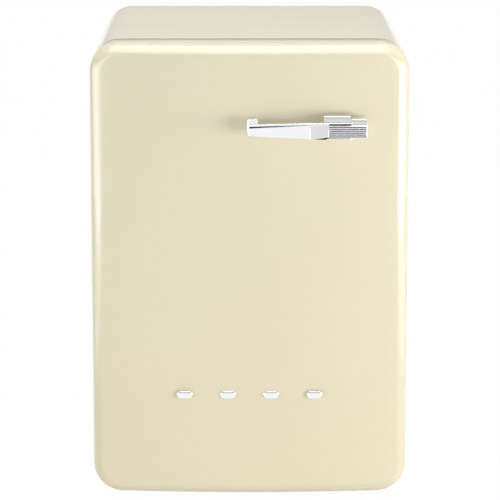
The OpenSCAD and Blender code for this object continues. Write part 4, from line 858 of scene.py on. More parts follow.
        low, high = FOOT
        foot = stand((low[0], low[2]), (high[0], high[2]), -BLADE[1][1] + 0.0001, 0.002)
        piece("handle_end_foot", [foot], "chrome_trim", "door", "handle_foot")
        blade_low, blade_high = BLADE
        low, high = GRIP
        tip = high[0] - 28 * MM
        upper = self.tail(tip, blade_high[2] - 2.7 * MM, blade_high[2] - 0.2 * MM,
                          blade_low[1] + 0.2 * MM, 0.010)
        lower = self.tail(tip, blade_low[2] + 0.2 * MM, low[2] - 0.3 * MM,
                          blade_low[1] + 2 * MM, 0.009)
        piece("handle_tapered_blade", [self.blade(), upper, lower], "chrome_trim", "door",
              "handle_blade", crease=30.0)
        body = block((low[0], low[1] + 2.0 * MM, low[2]), high, "x", 0.0012, 0.0006)
        pitch = (high[2] - low[2]) / sizes.rib_count
        radius = 0.34 * pitch
        ribs = [rod(radius, low[0] + 0.9 * MM, high[0] - 0.4 * MM, "x",
                    (low[1] + radius + 0.1 * MM, low[2] + (i + 0.5) * pitch), 14, 0.8 * radius)
                for i in range(sizes.rib_count)]
        piece("handle_ribbed_grip", [body] + ribs, "chrome_trim", "door", "handle_grip")
        # Painted shade: a dark plate behind the ribs shows as dark lines between them, and a dark
        # block between the grip and the blade's upper tail stands for the shade there.
        rib_shade_backing = block((low[0] + 0.6 * MM, low[1] + 1.5 * MM, low[2] + 0.5 * MM),
                        (high[0] - 0.8 * MM, low[1] + 2.3 * MM, high[2] - 0.5 * MM), "x",
                        0.0002, 0.0001)
        shade = block((low[0] + 0.2 * MM, low[1] + 2.6 * MM, high[2] + 0.1 * MM),
                      (tip - 1 * MM, low[1] + 9 * MM, blade_high[2] - 2.9 * MM), "x", 0.0002,
                      0.0001)
        piece("handle_dark_inlays", self.inlay() + [rib_shade_backing, shade], "black_plastic", "door")
        low, high = BRACKET
        step = low[0] + 0.050
        foot_z = GRIP[1][2] + 0.0003
        raised = leaned(stand((low[0], BLADE[1][2] + 0.0003), (step, high[2]), 0.3372),
                        BLADE[1][2], 0.30, -0.3372, -0.320)
        block_ = leaned(stand((step + 0.0005, foot_z), (high[0], high[2] - 0.005), 0.3408),
                        foot_z, 0.28, -0.3408, -0.320)
        pillar = stand((low[0] + 0.014, GRIP[0][2] + 0.002), (high[0] - 0.004, foot_z + 0.006),
                       -GRIP[1][1] - 0.0004)
        piece("handle_mount_bracket", [raised, block_, pillar], "chrome_trim", "door",
              "handle_bracket")
        return {"FINISHED"}


class FRIDGE_OT_trim_studs(Operator):
    """Makes the row of four plain domed studs low on the door"""
    bl_idname = "fridge.trim_studs"
    bl_label = "Trim studs"

    def execute(self, context):
        sizes = context.scene.fridge_sizes
        width = DOOR[1][0] - DOOR[0][0]
        skin = -DOOR[0][1] - sizes.crown
        low, high = STUDS
        height = high[2] - low[2]
        stud_w = 0.030
        pitch = (high[0] - low[0] - stud_w) / 3
        radius = height / 2 - 0.0002
        base = rim(stud_w / 2 - radius, height / 2 - radius, 10, np.linspace(
            radius - stud_w / 2, stud_w / 2 - radius, 5))
        dome = np.linspace(0.0, math.pi / 2, 12)[:-1]
        rise = 0.0039
        inset = radius * (1 - np.cos(dome) ** 0.8)
        centre_z = (low[2] + high[2]) / 2
        profile = np.concatenate([
            [[0, skin + 0.0001, 1]],
            np.stack([inset, skin + 0.001 + (rise - 0.001) * np.sin(dome) ** 0.9,
                      np.ones(11)], 1)])
        parts = [standing(base, radius, profile, ((i - 1.5) * pitch, centre_z), width,
                          sizes.crown) for i in range(4)]
        piece("door_plain_studs", parts, "chrome_trim", "door", "trim_studs", crease=60.0)
        return {"FINISHED"}


# ---- Back and underside ----

class FRIDGE_OT_condenser(Operator):
    """Makes the condenser's bent tube, its upright wires, the filter drier and the suction line"""
    bl_idname = "fridge.condenser"
    bl_label = "Condenser"

    def execute(self, context):
        low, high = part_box("condenser_coil")
        wires_low, wires_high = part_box("condenser_wires")
        radius = 0.0025
        out = high[0] - radius
        top = high[2] - radius
        y = high[1] - radius
        bottom = wires_low[2] + 0.012
        runs = 9
        pitch = (top - bottom) / (runs - 1)
        turn = pitch / 2
        half = -low[0] - radius
        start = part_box("compressor")[1][0] - 0.006
        depth = (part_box("compressor")[0][1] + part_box("compressor")[1][1]) / 2
        z = low[2] + radius
        head = bent([[start, depth, z], [out, depth, z], [out, y, z], [out, y, top],
                     [out - 0.03, y, top]], 0.010)
        angle = np.linspace(0.0, math.pi, 15)
        index = np.arange(runs - 1)
        side = np.where(index % 2 == 0, -1.0, 1.0)[:, None]
        level = (top - index * pitch)[:, None]
        loops = np.stack([side * (half - turn) + side * turn * np.sin(angle)[None],
                          np.full((runs - 1, 15), y),
                          level - turn * (1 - np.cos(angle))[None]], -1).reshape(-1, 3)
        drier_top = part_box("filter_drier")[1][2]
        tail = bent([[-half + 0.04, y, bottom], [-half, y, bottom], [-half, y, drier_top]], 0.012)
        path = np.concatenate([head, loops, tail])
        coil = tube(path, radius, (1.0, -1.0, 1.0), 12)
        piece("condenser_bent_tube", [coil], "black_enamel", "cabinet", "condenser_coil")
        count = 22
        reach = -wires_low[0] - 0.0008
        wire = []
        for face in (-1, 1):
            xs = -reach + 2 * reach * (np.arange(count) + (face + 1) / 4) / (count - 0.5)
            far = y + face * (radius + 0.0009)
            wire += [rod(0.0008, wires_low[2], wires_high[2], "z", (x, far), 8, 0.0004)
                     for x in xs]
        piece("condenser_upright_wires", wire, "black_enamel", "cabinet", "condenser_wires")
        low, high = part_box("filter_drier")
        centre = ((low[0] + high[0]) / 2, (low[1] + high[1]) / 2)
        r = (high[0] - low[0]) / 2
        h = high[2] - low[2]
        ease = np.linspace(0.0, math.pi / 2, 6)
        shoulder = 0.34 * r + 0.66 * r * np.sin(ease)
        profile = np.concatenate([
            [[0.0012, 0.0], [0.003, 0.0003], [0.003, 0.003]],
            np.stack([shoulder, 0.004 + 0.009 * (1 - np.cos(ease))], 1),
            [[r, 0.020], [0.93 * r, 0.0215], [0.93 * r, 0.023], [r, 0.0245]],
            [[r, h - 0.024], [0.93 * r, h - 0.0225], [0.93 * r, h - 0.021], [r, h - 0.0195]],
            np.stack([shoulder[::-1], h - 0.004 - 0.009 * (1 - np.cos(ease[::-1]))], 1),
            [[0.0035, h - 0.003], [0.0035, h - 0.0003], [0.0012, h]]])
        piece("condenser_filter_drier", [turned(profile + [0, low[2]], "z", centre, 36)],
              "copper", "cabinet", "filter_drier")
        low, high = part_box("suction_line")
        x = (low[0] + high[0]) / 2
        rear = high[1] - 0.004
        path = bent([[x, low[1], high[2] - 0.004], [x, rear, high[2] - 0.004],
                     [x, rear, low[2]]], 0.010, 10)
        piece("suction_pipe", [tube(path, 0.004, (1, 0, 0), 16)], "copper", "cabinet",
              "suction_line")
        return {"FINISHED"}


class FRIDGE_OT_compressor(Operator):
    """Makes the compressor with its welded shell, foot plate, pipe stubs, mounts and tray"""
    bl_idname = "fridge.compressor"
    bl_label = "Compressor"

    def execute(self, context):
        low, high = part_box("compressor")
        centre = ((low[0] + high[0]) / 2, (low[1] + high[1]) / 2)
        shell_r = 0.068
        foot = 0.004
        height = 0.128
        base = low[2] + foot - 0.001
        ease = np.linspace(0.02, math.pi / 2, 12)
        belly = np.stack([shell_r - 0.020 + 0.020 * np.sin(ease),
                          0.020 - 0.020 * np.cos(ease)], 1)
        seam = 0.45 * height
        flange = np.array([[0, -0.0005], [0.0012, 0.0], [0.0034, 0.0004], [0.004, 0.0012],
                           [0.004, 0.0048], [0.0034, 0.0056], [0.0012, 0.006], [0, 0.0065]])
        flange = flange + [shell_r, seam]
        dome = np.stack([shell_r - 0.030 + 0.030 * np.cos(ease - 0.02),
                         height - 0.029 + 0.029 * np.sin(ease - 0.02)], 1)
        crown = np.array([[0.030, height + 0.0004], [0.012, height + 0.0008],
                          [0.002, height + 0.001]])
        profile = np.concatenate([[[0.004, 0.0], [0.030, 0.0]], belly, flange, dome, crown])
        shell = turned(profile + [0, base], "z", centre, 72)
        plate = block((low[0], low[1], low[2]), (high[0], high[1], low[2] + foot), "z", 0.012,
                      0.0012)
        stub_x, stub_y = centre[0], (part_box("suction_line")[1][1]) - 0.004
        stub = turned([[0.003, high[2] - 0.018], [0.006, high[2] - 0.018],
                       [0.006, high[2] - 0.003], [0.0066, high[2] - 0.002],
                       [0.0066, high[2] - 0.0006], [0.006, high[2]], [0.0044, high[2]],
                       [0.0043, high[2] - 0.001]], "z", (stub_x, stub_y), 28)
        service = bent([[centre[0] - 0.030, centre[1] + 0.045, base + 0.085],
                        [centre[0] - 0.030, centre[1] + 0.071, base + 0.085],
                        [centre[0] - 0.030, centre[1] + 0.071, base + 0.112]], 0.008)
        process = tube(service, 0.0032, (1, 0, 0), 12)
        piece("compressor_welded_shell", [shell, plate, stub, process], "black_enamel",
              "cabinet", "compressor")
        low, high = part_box("compressor_mounts")
        reach = (high[0] - low[0]) / 2 - 0.010
        z = low[2]
        h = high[2] - low[2]
        ring = [[0.0034, 0], [0.0092, 0], [0.010, 0.0008], [0.010, 0.0044], [0.0085, 0.0052],
                [0.0078, 0.0062], [0.0078, h - 0.0062], [0.0085, h - 0.0052],
                [0.010, h - 0.0044], [0.010, h - 0.0008], [0.0092, h], [0.0034, h]]
        mounts = [turned(np.array(ring) + [0, z], "z", (centre[0] + i * reach,
                                                        centre[1] + j * reach), 28)
                  for i in (-1, 1) for j in (-1, 1)]
        piece("compressor_rubber_mounts", mounts, "black_rubber", "cabinet",
              "compressor_mounts")
        low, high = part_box("evaporation_tray")
        tray = cup(low, high, 0.002, 0.006, 0.004)
        piece("evaporation_tray_moulding", [tray], "black_plastic", "cabinet",
              "evaporation_tray")
        return {"FINISHED"}


def cup(low, high, wall, radius, foot=0.003, heights=None, base=None, lip=0.0):
    """Open tray with rounded corners: its profile runs up the outer wall from a rounded foot,
    over a round rim (with a small lip outwards), and down the inner wall to the floor. heights,
    one for each point of the outline, gives the rim's height as a share of the full one."""
    low = np.asarray(low, float)
    high = np.asarray(high, float)
    half = (high - low) / 2
    if base is None:
        base = rim(half[0] - radius, half[1] - radius, 7)
    height = high[2] - low[2]
    turn = np.linspace(0.0, math.pi / 2, 6)
    outer_foot = np.stack([lip + foot * (1 - np.sin(turn)), foot * (1 - np.cos(turn))], 1)
    fold = np.linspace(0.0, math.pi, 7)
    top = np.stack([(wall + lip) / 2 * (1 - np.cos(fold)),
                    height - wall / 2 + wall / 2 * np.sin(fold)], 1)
    if lip > 0:
        under = np.array([[lip, height - 2.2 * wall], [lip * 0.9, height - 1.9 * wall],
                          [0.0, height - 1.6 * wall]])
        top = np.concatenate([under, top])
    inner = max(foot - wall, 0.0008)
    inner_foot = np.stack([lip + wall + inner * (1 - np.sin(turn[::-1])),
                           wall + inner * (1 - np.cos(turn[::-1]))], 1)
    profile = np.concatenate([outer_foot, top, inner_foot])
    centre = ((low + high) / 2)[:2]
    anchor, way = base[2], base[3]
    flat = anchor[None] + (radius - profile[:, 0])[:, None, None] * way[None] + centre
    far = np.repeat(profile[:, 1][:, None], len(anchor), 1)
    if heights is not None:
        share = np.clip((far - 2.5 * foot) / (height - 2.5 * foot), 0.0, 1.0)
        drop = height * (1 - np.asarray(heights))[None]
        far = far - share * drop
    return solid(along("z", flat, far + low[2]))


class FRIDGE_OT_feet(Operator):
    """Makes the four levelling feet with their pads, nuts and threaded studs"""
    bl_idname = "fridge.feet"
    bl_label = "Levelling feet"

    def execute(self, context):
        for name in ("front_left_foot", "front_right_foot", "rear_left_foot",
                     "rear_right_foot"):
            low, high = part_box(name)
            centre = ((low[0] + high[0]) / 2, (low[1] + high[1]) / 2)
            radius = (high[0] - low[0]) / 2
            pad = turned([[0.004, 0.0006], [0.014, 0.0006], [0.015, 0], [radius - 0.001, 0],
                          [radius - 0.0002, 0.0006], [radius, 0.0016], [radius, 0.0060],
                          [radius - 0.0006, 0.0070], [0.0155, 0.0084], [0.0095, 0.0096],
                          [0.0085, 0.0100], [0.002, 0.0100]], "z", centre, 48)
            nut = turned([[0.004, 0.0090], [0.0082, 0.0090], [0.0090, 0.0096],
                          [0.0090, 0.0144], [0.0082, 0.0150], [0.004, 0.0150]], "z", centre, 6)
            rise = np.arange(0.0152, high[2] - 0.001, 0.0004)
            thread = 0.0050 - 0.0005 * (np.arange(len(rise)) % 4 > 1)
            stud = np.concatenate([[[0.002, 0.0140], [0.0048, 0.0140]],
                                   np.stack([thread, rise], 1),
                                   [[0.0042, high[2] - 0.0004], [0.0034, high[2]],
                                    [0.001, high[2]]]])
            piece(name + "_levelling", [pad, nut, turned(stud, "z", centre, 28)],
                  "black_plastic", name, name, crease=40.0)
        return {"FINISHED"}


# ---- Inside of the door ----

def smooth(value, start, end):
    """0 before start, 1 past end and an even ease 3t^2 - 2t^3 between them."""
    t = np.clip((value - start) / (end - start), 0, 1)
    return t * t * (3 - 2 * t)


def swept(section, x, ease=0.0006):
    """Closed section of (y, z) points carried along x, slightly smaller at both of its ends."""
    section = np.asarray(section, float)
    middle = (section.max(axis=0) + section.min(axis=0)) / 2
    size = (section.max(axis=0) - section.min(axis=0)).min() / 2
    stations = np.array([x[0], x[0] + ease, x[1] - ease, x[1]])
    near = section + (middle - section) * min(ease / size, 0.2)
    rings = np.stack([near, section, section, near])
    return solid(np.concatenate([np.repeat(stations[:, None, None], len(section), 1), rings],
                                -1))


class FRIDGE_OT_gasket(Operator):
    """Makes the door gasket: a magnet cushion, a folded bellows and a wide foot"""
    bl_idname = "fridge.gasket"
    bl_label = "Door gasket"

    def execute(self, context):
        low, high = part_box("door_gasket")
        half_w = (high[0] - low[0]) / 2
        half_h = (high[2] - low[2]) / 2
        radius = 0.020
        base = rim(half_w - radius, half_h - radius, 10)
        front, rear = -high[1], -low[1]
        outer = np.array([[1.2, 0.1], [0.4, 0.5], [0, 1.3], [0, 2.8], [0.5, 3.8], [2.2, 4.6],
                          [3.0, 5.6], [2.2, 6.8], [0.6, 7.7], [0, 8.8], [0, 10.4], [0.5, 11.2],
                          [1.4, 11.7]])
        wide = 16.0
        inner = outer[::-1] * [-1, 1] + [wide, 0]
        profile = np.concatenate([outer, inner]) * MM
        profile[:, 1] = front + profile[:, 1] * (rear - front) / (11.7 * MM)
        rings = carried(base, radius, profile, "y", (0.0, (low[2] + high[2]) / 2))
        piece("door_gasket_bellows", [strip(rings, True)], "gasket_grey", "door",
              "door_gasket", crease=60.0)
        return {"FINISHED"}


class FRIDGE_OT_door_bins(Operator):
    """Makes the clear bins of the door, the dairy lid, the egg tray, the rail and its clip"""
    bl_idname = "fridge.door_bins"
    bl_label = "Door bins"

    def bin(self, node, front_h):
        """Open bin with rounded corners; its rim sinks in a smooth curve from the back half to
        the lower front, which has a shallow thumb dip in its middle."""
        low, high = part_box(node)
        half = (high[0] - low[0]) / 2
        depth = high[1] - low[1]
        height = high[2] - low[2]
        radius = 0.010
        sides = np.linspace(radius - depth / 2, depth / 2 - radius, 26)[1:-1]
        across = np.linspace(radius - half, half - radius, 33)
        base = rim(half - radius, depth / 2 - radius, 7, across, sides)
        outline_ = base[2] + radius * base[3]
        fall = smooth(outline_[:, 1], -0.18 * depth, 0.22 * depth)
        dip = 0.004 * (outline_[:, 1] > 0.4 * depth) * (
            1 - smooth(np.abs(outline_[:, 0]), 0.25 * half, 0.5 * half))
        heights = 1 - (1 - front_h / height) * fall - dip / height
        return [cup(low, high, 0.0024, radius, 0.005, heights, base, 0.0012)]

    def execute(self, context):
        for node, front_h in (("bottle_bin", 0.074), ("middle_bin", 0.044),
                              ("dairy_bin", 0.016)):
            piece(node + "_clear", self.bin(node, front_h), "clear_plastic", "door", node)
        low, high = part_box("dairy_lid")
        t = 0.0026
        bend = np.linspace(0.0, math.pi / 2, 12)
        out_r, in_r = 0.018, 0.018 - t
        centre = np.array([high[1] - out_r, high[2] - out_r])
        arc_out = centre + out_r * np.stack([np.sin(bend), np.cos(bend)], 1)
        arc_in = centre + in_r * np.stack([np.sin(bend), np.cos(bend)], 1)
        section = np.concatenate([
            [[low[1] + 0.001, high[2]]], arc_out,
            [[high[1], low[2] + 0.006], [high[1] - 0.0004, low[2] + 0.001],
             [high[1] - 0.0014, low[2]], [high[1] - 0.0052, low[2] + 0.0002],
             [high[1] - 0.0060, low[2] + 0.001], [high[1] - 0.0056, low[2] + 0.0022],
             [high[1] - t - 0.0004, low[2] + 0.0036]],
            arc_in[::-1], [[low[1] + 0.001, high[2] - t], [low[1], high[2] - t / 2]]])
        cheek = np.concatenate([
            [[low[1] + 0.0005, high[2] - 0.003], [low[1] + 0.0015, high[2] - 0.0015]],
            arc_in[:6] + [0, 0.0006], arc_in[6:] + [0.0006, 0],
            [[high[1] - t + 0.0006, low[2] + 0.008], [high[1] - 0.010, high[2] - 0.030],
             [low[1] + 0.010, high[2] - 0.008], [low[1] + 0.0015, high[2] - 0.0060]]])
        parts = [swept(section, (low[0], high[0]))]
        parts += [swept(cheek, sorted((side * high[0], side * (high[0] - 0.0022))), 0.0004)
                  for side in (-1, 1)]
        piece("dairy_lid_curved", parts, "clear_plastic", "dairy_lid", "dairy_lid")
        self.eggs()
        low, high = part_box("bottle_rail")
        r = 0.003
        z = (low[2] + high[2]) / 2
        x = high[0] - r - 0.0006
        path = bent([[-x, low[1] + 0.002, z], [-x, high[1] - r, z], [x, high[1] - r, z],
                     [x, low[1] + 0.002, z]], 0.014, 10)
        ends = [block((side * x - 0.0034, low[1], low[2]), (side * x + 0.0034, low[1] + 0.0022,
                      high[2]), "y", 0.003, 0.0006) for side in (-1, 1)]
        piece("bottle_rail_tube", [tube(path, r, (0, 0, 1), 20)] + ends, "chrome_trim", "door",
              "bottle_rail")
        low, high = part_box("bottle_clip")
        across = (low[0] + high[0]) / 2
        centre = (high[1] - 0.006, (low[2] + high[2]) / 2)
        sleeve = [[0.0034, low[0]], [0.0052, low[0]], [0.006, low[0] + 0.0008],
                  [0.006, low[0] + 0.003], [0.0052, low[0] + 0.0040],
                  [0.0052, high[0] - 0.0040], [0.006, high[0] - 0.003],
                  [0.006, high[0] - 0.0008], [0.0052, high[0]], [0.0034, high[0]]]
        run = np.array([0, 0.004, 0.03, 0.055, 0.066, 0.074, 0.0785, 0.0805, 0.081])
        wide = np.array([2.4, 2.2, 2.0, 2.0, 3.2, 5.4, 5.2, 3.6, 1.0]) * MM
        tall = np.array([4.5, 3.4, 2.8, 2.8, 3.2, 4.0, 3.8, 2.6, 1.0]) * MM
        ring = circle(16)[3]
        flat = np.stack([across + ring[None, :, 0] * wide[:, None],
                         centre[1] + ring[None, :, 1] * tall[:, None]], -1)
        arm = solid(along("y", flat, (-(high[1] - 0.008) + run)[:, None]))
        arm[0][:, 1] = np.maximum(arm[0][:, 1], low[1])
        piece("bottle_clip_arm", [turned(sleeve, "x", centre, 28), arm], "white_gloss",
              "bottle_clip", "bottle_clip")
        return {"FINISHED"}

    def eggs(self):
        """Tray whose top is a height field, z = top - depth * (1 - (r / R)^2) ^ 0.5 inside each
        of the eight round hollows; the edge of the field drops down as a skirt."""
        low, high = (np.array(corner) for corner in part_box("egg_tray"))
        radius = 0.0175
        u = np.concatenate([[low[0]] * 2, np.linspace(low[0] + 0.0008, high[0] - 0.0008, 91),
                            [high[0]] * 2])
        v = np.concatenate([[low[1]] * 2, np.linspace(low[1] + 0.0008, high[1] - 0.0008, 43),
                            [high[1]] * 2])
        x, y = np.meshgrid(u, v)
        middle = (low + high) / 2
        cx = middle[0] + (np.arange(4) - 1.5) * 0.042
        cy = middle[1] + np.array([-1, 1]) * 0.020
        gap = np.full(x.shape, 1.0)
        for near in cx:
            for far in cy:
                gap = np.minimum(gap, np.hypot(x - near, y - far) / radius)
        bowl = np.sqrt(np.clip(1 - gap ** 2, 0, 1))
        raised = 0.0012 * np.exp(-((gap - 1.04) / 0.06) ** 2)
        z = high[2] - 0.0012 - 0.019 * bowl + raised
        z[[1, -2], :] = high[2] - 0.0020
        z[:, [1, -2]] = high[2] - 0.0020
        z[[0, -1], :] = low[2]
        z[:, [0, -1]] = low[2]
        outer = np.stack([x, y, z], -1)
        inner = outer.copy()
        scale = 1 - 0.0018 / ((high - low)[:2] / 2)
        inner[..., :2] = middle[:2] + (outer[..., :2] - middle[:2]) * scale
        inner[2:-2, 2:-2, 2] -= 0.0018
        inner[[1, -2], :, 2] -= 0.0018
        inner[:, [1, -2], 2] -= 0.0018
        inner[[0, -1], :, 2] = low[2]
        inner[:, [0, -1], 2] = low[2]
        piece("egg_tray_hollows", [quilt(outer, inner)], "white_gloss", "door", "egg_tray",
              crease=50.0)


def quilt(outer, inner):
    """Closed shell between two grids of the same size, joined round their edges."""
    rows, columns = outer.shape[:2]
    ids = np.arange(rows * columns).reshape(rows, columns)
    top = np.stack([ids[:-1, :-1], ids[:-1, 1:], ids[1:, 1:], ids[1:, :-1]], -1)
    under = top[..., ::-1] + rows * columns
    edge = np.concatenate([ids[0, :-1], ids[:-1, -1], ids[-1, :0:-1], ids[:0:-1, 0]])
    on = np.roll(edge, -1)
    wall = np.stack([on, edge, edge + rows * columns, on + rows * columns], -1)
    faces = np.concatenate([top.reshape(-1, 4), under.reshape(-1, 4), wall])
    return (np.concatenate([outer.reshape(-1, 3), inner.reshape(-1, 3)]), faces.tolist())


# ---- Inside of the cabinet ----

class FRIDGE_OT_shelves(Operator):
    """Makes the glass shelves with their front trims, the crisper's cover and the bottle rack"""
    bl_idname = "fridge.shelves"
    bl_label = "Shelves"

    def execute(self, context):
        for node in ("lower_glass_shelf", "upper_glass_shelf", "crisper_cover"):
            low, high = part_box(node)
            piece(node + "_pane", [block(low, high, "z", 0.006, 0.0007, 6)], "shelf_glass",
                  "cabinet", node)
        for node in ("lower_shelf_trim", "upper_shelf_trim"):
            low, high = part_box(node)
            z = (low[2] + high[2]) / 2
            h = (high[2] - low[2]) / 2
            front, rear = low[1], high[1]
            turn = np.linspace(math.pi / 2, 3 * math.pi / 2, 15)
            nose = np.stack([front + 0.0042 + 0.0042 * np.cos(turn),
                             z + h * 0.62 + 0.38 * h * np.sin(turn)], 1)[:8]
            foot = np.stack([nose[::-1, 0], 2 * z - nose[::-1, 1]], 1)
            dish = np.array([[front + 0.0002, z + 0.25 * h], [front + 0.0009, z],
                             [front + 0.0002, z - 0.25 * h]])
            section = np.concatenate([
                [[rear - 0.0008, z + h - 0.0004], [rear - 0.002, z + h]], nose, dish, foot,
                [[rear - 0.002, z - h], [rear - 0.0008, z - h + 0.0004], [rear, z - h + 0.0014],
                 [rear, z - 0.0024], [rear - 0.0052, z - 0.0021],
                 [rear - 0.0052, z + 0.0021], [rear, z + 0.0024], [rear, z + h - 0.0014]]])
            piece(node + "_nose", [swept(section, (low[0], high[0]))], "white_gloss", "cabinet",
                  node)
        self.rack()
        return {"FINISHED"}

    def rack(self):
        """Wire rack: a frame bent from one thick wire, cross wires, and pairs of long wires
        whose front ends turn up."""
        low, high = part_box("bottle_rack")
        r = 0.0024
        z = low[2] + r
        half = high[0] - r
        front, rear = low[1] + r, high[1] - r
        frame_ = bent([[0, front, z + 0.004], [half, front, z + 0.004], [half, front + 0.02, z],
                       [half, rear, z], [-half, rear, z], [-half, front + 0.02, z],
                       [-half, front, z + 0.004], [0, front, z + 0.004]], 0.009, 8)
        wires = [tube(frame_, r, (0, 0, 1), 12)]
        wires += [rod(0.8 * r, -half, half, "x", (y, z), 12, 0.0006)
                  for y in (front + 0.014, (front + rear) / 2, rear - 0.012)]
        pitch = 2 * half / 4
        for i in range(4):
            for side in (-1, 1):
                x = -half + (i + 0.5 + 0.22 * side) * pitch
                path = bent([[x, front + 0.0035, z + 0.0040], [x, front + 0.010, z + 0.0036],
                             [x, rear - 0.004, z + 0.0036]], 0.004, 6)
                wires.append(tube(path, r * 0.9, (1, 0, 0), 12))
        piece("bottle_rack_wires", wires, "chrome_trim", "cabinet", "bottle_rack", crease=50.0)


class FRIDGE_OT_crisper(Operator):
    """Makes the crisper drawer with its rounded walls, lip and finger scoop"""
    bl_idname = "fridge.crisper"
    bl_label = "Crisper drawer"

    def execute(self, context):
        low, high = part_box("crisper_drawer")
        half_w = (high[0] - low[0]) / 2
        half_d = (high[1] - low[1]) / 2
        height = high[2] - low[2]
        radius = 0.018
        across = np.concatenate([np.linspace(radius - half_w, -0.034, 12)[:-1],
                                 np.linspace(-0.034, 0.034, 31),
                                 np.linspace(0.034, half_w - radius, 12)[1:]])
        base = rim(half_w - radius, half_d - radius, 8, across,
                   np.linspace(radius - half_d, half_d - radius, 14)[1:-1])
        outline_ = base[2] + radius * base[3]
        near = outline_[:, 1] < 0.1 * radius - half_d
        scoop = np.sqrt(np.clip(0.028 ** 2 - outline_[:, 0] ** 2, 0, None)) * 0.62
        soft = 0.0016 * np.exp(-((np.abs(outline_[:, 0]) - 0.0275) / 0.003) ** 2)
        heights = 1 - near * (scoop + soft) / height
        body = cup(low, high, 0.003, radius, 0.012, heights, base, 0.0022)
        ribs = [block((x - 0.0009, low[1] + 0.03, low[2] + 0.0025),
                      (x + 0.0009, high[1] - 0.03, low[2] + 0.0055), "z", 0.0008, 0.0004)
                for x in np.linspace(-0.18, 0.18, 7)]
        piece("crisper_drawer_clear", [body] + ribs, "clear_plastic", "crisper_drawer",
              "crisper_drawer")
        return {"FINISHED"}


class FRIDGE_OT_ice_box(Operator):
    """Makes the ice box with rolled edges and raised channels, its flap and the drip tray"""
    bl_idname = "fridge.ice_box"
    bl_label = "Ice box"

    def execute(self, context):
        low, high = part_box("ice_box")
        flap_low, flap_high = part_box("ice_box_flap")
        tray_low, tray_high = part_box("drip_tray")
        half_w = high[0]
        bottom = flap_low[2] - 0.001
        top = bottom + 0.128
        front, rear = -(low[1] + 0.010), -high[1]
        middle = (top + bottom) / 2
        radius = 0.016
        t = 0.0022
        base = rim(half_w - radius, (top - bottom) / 2 - radius, 9)
        roll = np.linspace(0.0, math.pi, 9)
        ease = np.linspace(0.0, math.pi / 2, 6)
        profile = np.concatenate([
            np.stack([0.008 * (1 - np.sin(ease)), rear + 0.008 * (1 - np.cos(ease))], 1),
            np.stack([t / 2 * (1 - np.cos(roll)), front - t / 2 + t / 2 * np.sin(roll)], 1),
            np.stack([t + 0.006 * (1 - np.cos(ease)), rear + t + 0.006 * (1 - np.sin(ease))],
                     1)])
        shell = solid(carried(base, radius, profile, "y", (0.0, middle)))
        channels = []
        for face in (-1, 1):
            z = middle + face * ((top - bottom) / 2 - t)
            y = np.array([front - 0.03, rear + 0.03])
            runs = np.linspace(-half_w + 0.03, half_w - 0.03, 9)
            corners = []
            for i, x in enumerate(runs):
                corners += [[x, -y[i % 2], z], [x, -y[1 - i % 2], z]]
            path = bent(corners, 0.012, 5)
            channels.append(tube(path, 0.0022, (0, 0, 1), 10))
        ears = []
        for side in (-1, 1):
            near, far = sorted((side * half_w, side * (half_w - 0.003)))
            ears.append(block((near, low[1], flap_low[2] - 0.004),
                              (far, low[1] + 0.03, flap_low[2] + 0.010), "x", 0.004, 0.0005))
        hangers = [rod(0.006, top - 0.001, high[2], "z", (x, y), 20, 0.0008)
                   for x in (-half_w + 0.04, half_w - 0.04)
                   for y in (low[1] + 0.04, high[1] - 0.03)]
        rails = []
        for side in (-1, 1):
            out = tray_high[0] + 0.001
            leg = sorted((side * out, side * (out + 0.0025)))
            lip = sorted((side * (out - 0.007), side * (out + 0.0025)))
            rails.append(block((leg[0], tray_low[1], low[2]),
                               (leg[1], tray_high[1], bottom + 0.001), "y", 0.0008, 0.0004))
            rails.append(block((lip[0], tray_low[1], low[2]),
                               (lip[1], tray_high[1], low[2] + 0.0022), "y", 0.0008, 0.0004))
        piece("ice_box_evaporator", [shell] + channels + ears + hangers + rails,
              "evaporator_aluminium", "cabinet", "ice_box")
        low, high = flap_low, flap_high
        thick = 0.006
        y = (low[1] + 0.005 + high[1]) / 2
        wide = 0.227
        plate = block((-wide, y - thick / 2, low[2] + 0.0004), (wide, y + thick / 2, high[2]),
                      "y", 0.006, 0.0016, 6, 5)
        frame_line = bent([[0, y - thick / 2, low[2] + 0.016],
                           [wide - 0.016, y - thick / 2, low[2] + 0.016],
                           [wide - 0.016, y - thick / 2, high[2] - 0.020],
                           [-wide + 0.016, y - thick / 2, high[2] - 0.020],
                           [-wide + 0.016, y - thick / 2, low[2] + 0.016],
                           [0, y - thick / 2, low[2] + 0.016]], 0.008, 6)
        bead = tube(frame_line, 0.0009, (0, 1, 0), 8)
        grip_section = np.array([
            [y, high[2] - 0.013], [y - thick / 2 - 0.003, high[2] - 0.0125],
            [low[1] + 0.0006, high[2] - 0.0105], [low[1], high[2] - 0.0085],
            [low[1] + 0.0004, high[2] - 0.0060], [low[1] + 0.0016, high[2] - 0.0045],
            [y, high[2] - 0.0035]])
        grip = swept(grip_section, (-0.05, 0.05), 0.001)
        pins = [rod(0.0025, *sorted((side * (wide - 0.004), side * high[0])), "x",
                    (y, low[2] + thick / 2), 16, 0.0005) for side in (-1, 1)]
        piece("ice_box_flap_panel", [plate, bead, grip] + pins, "white_gloss", "ice_box_flap",
              "ice_box_flap")
        low, high = tray_low, tray_high
        tray = cup(low, high, 0.002, 0.010, 0.005, None, None, 0.008)
        piece("drip_tray_moulding", [tray], "grey_plastic", "drip_tray", "drip_tray")
        return {"FINISHED"}


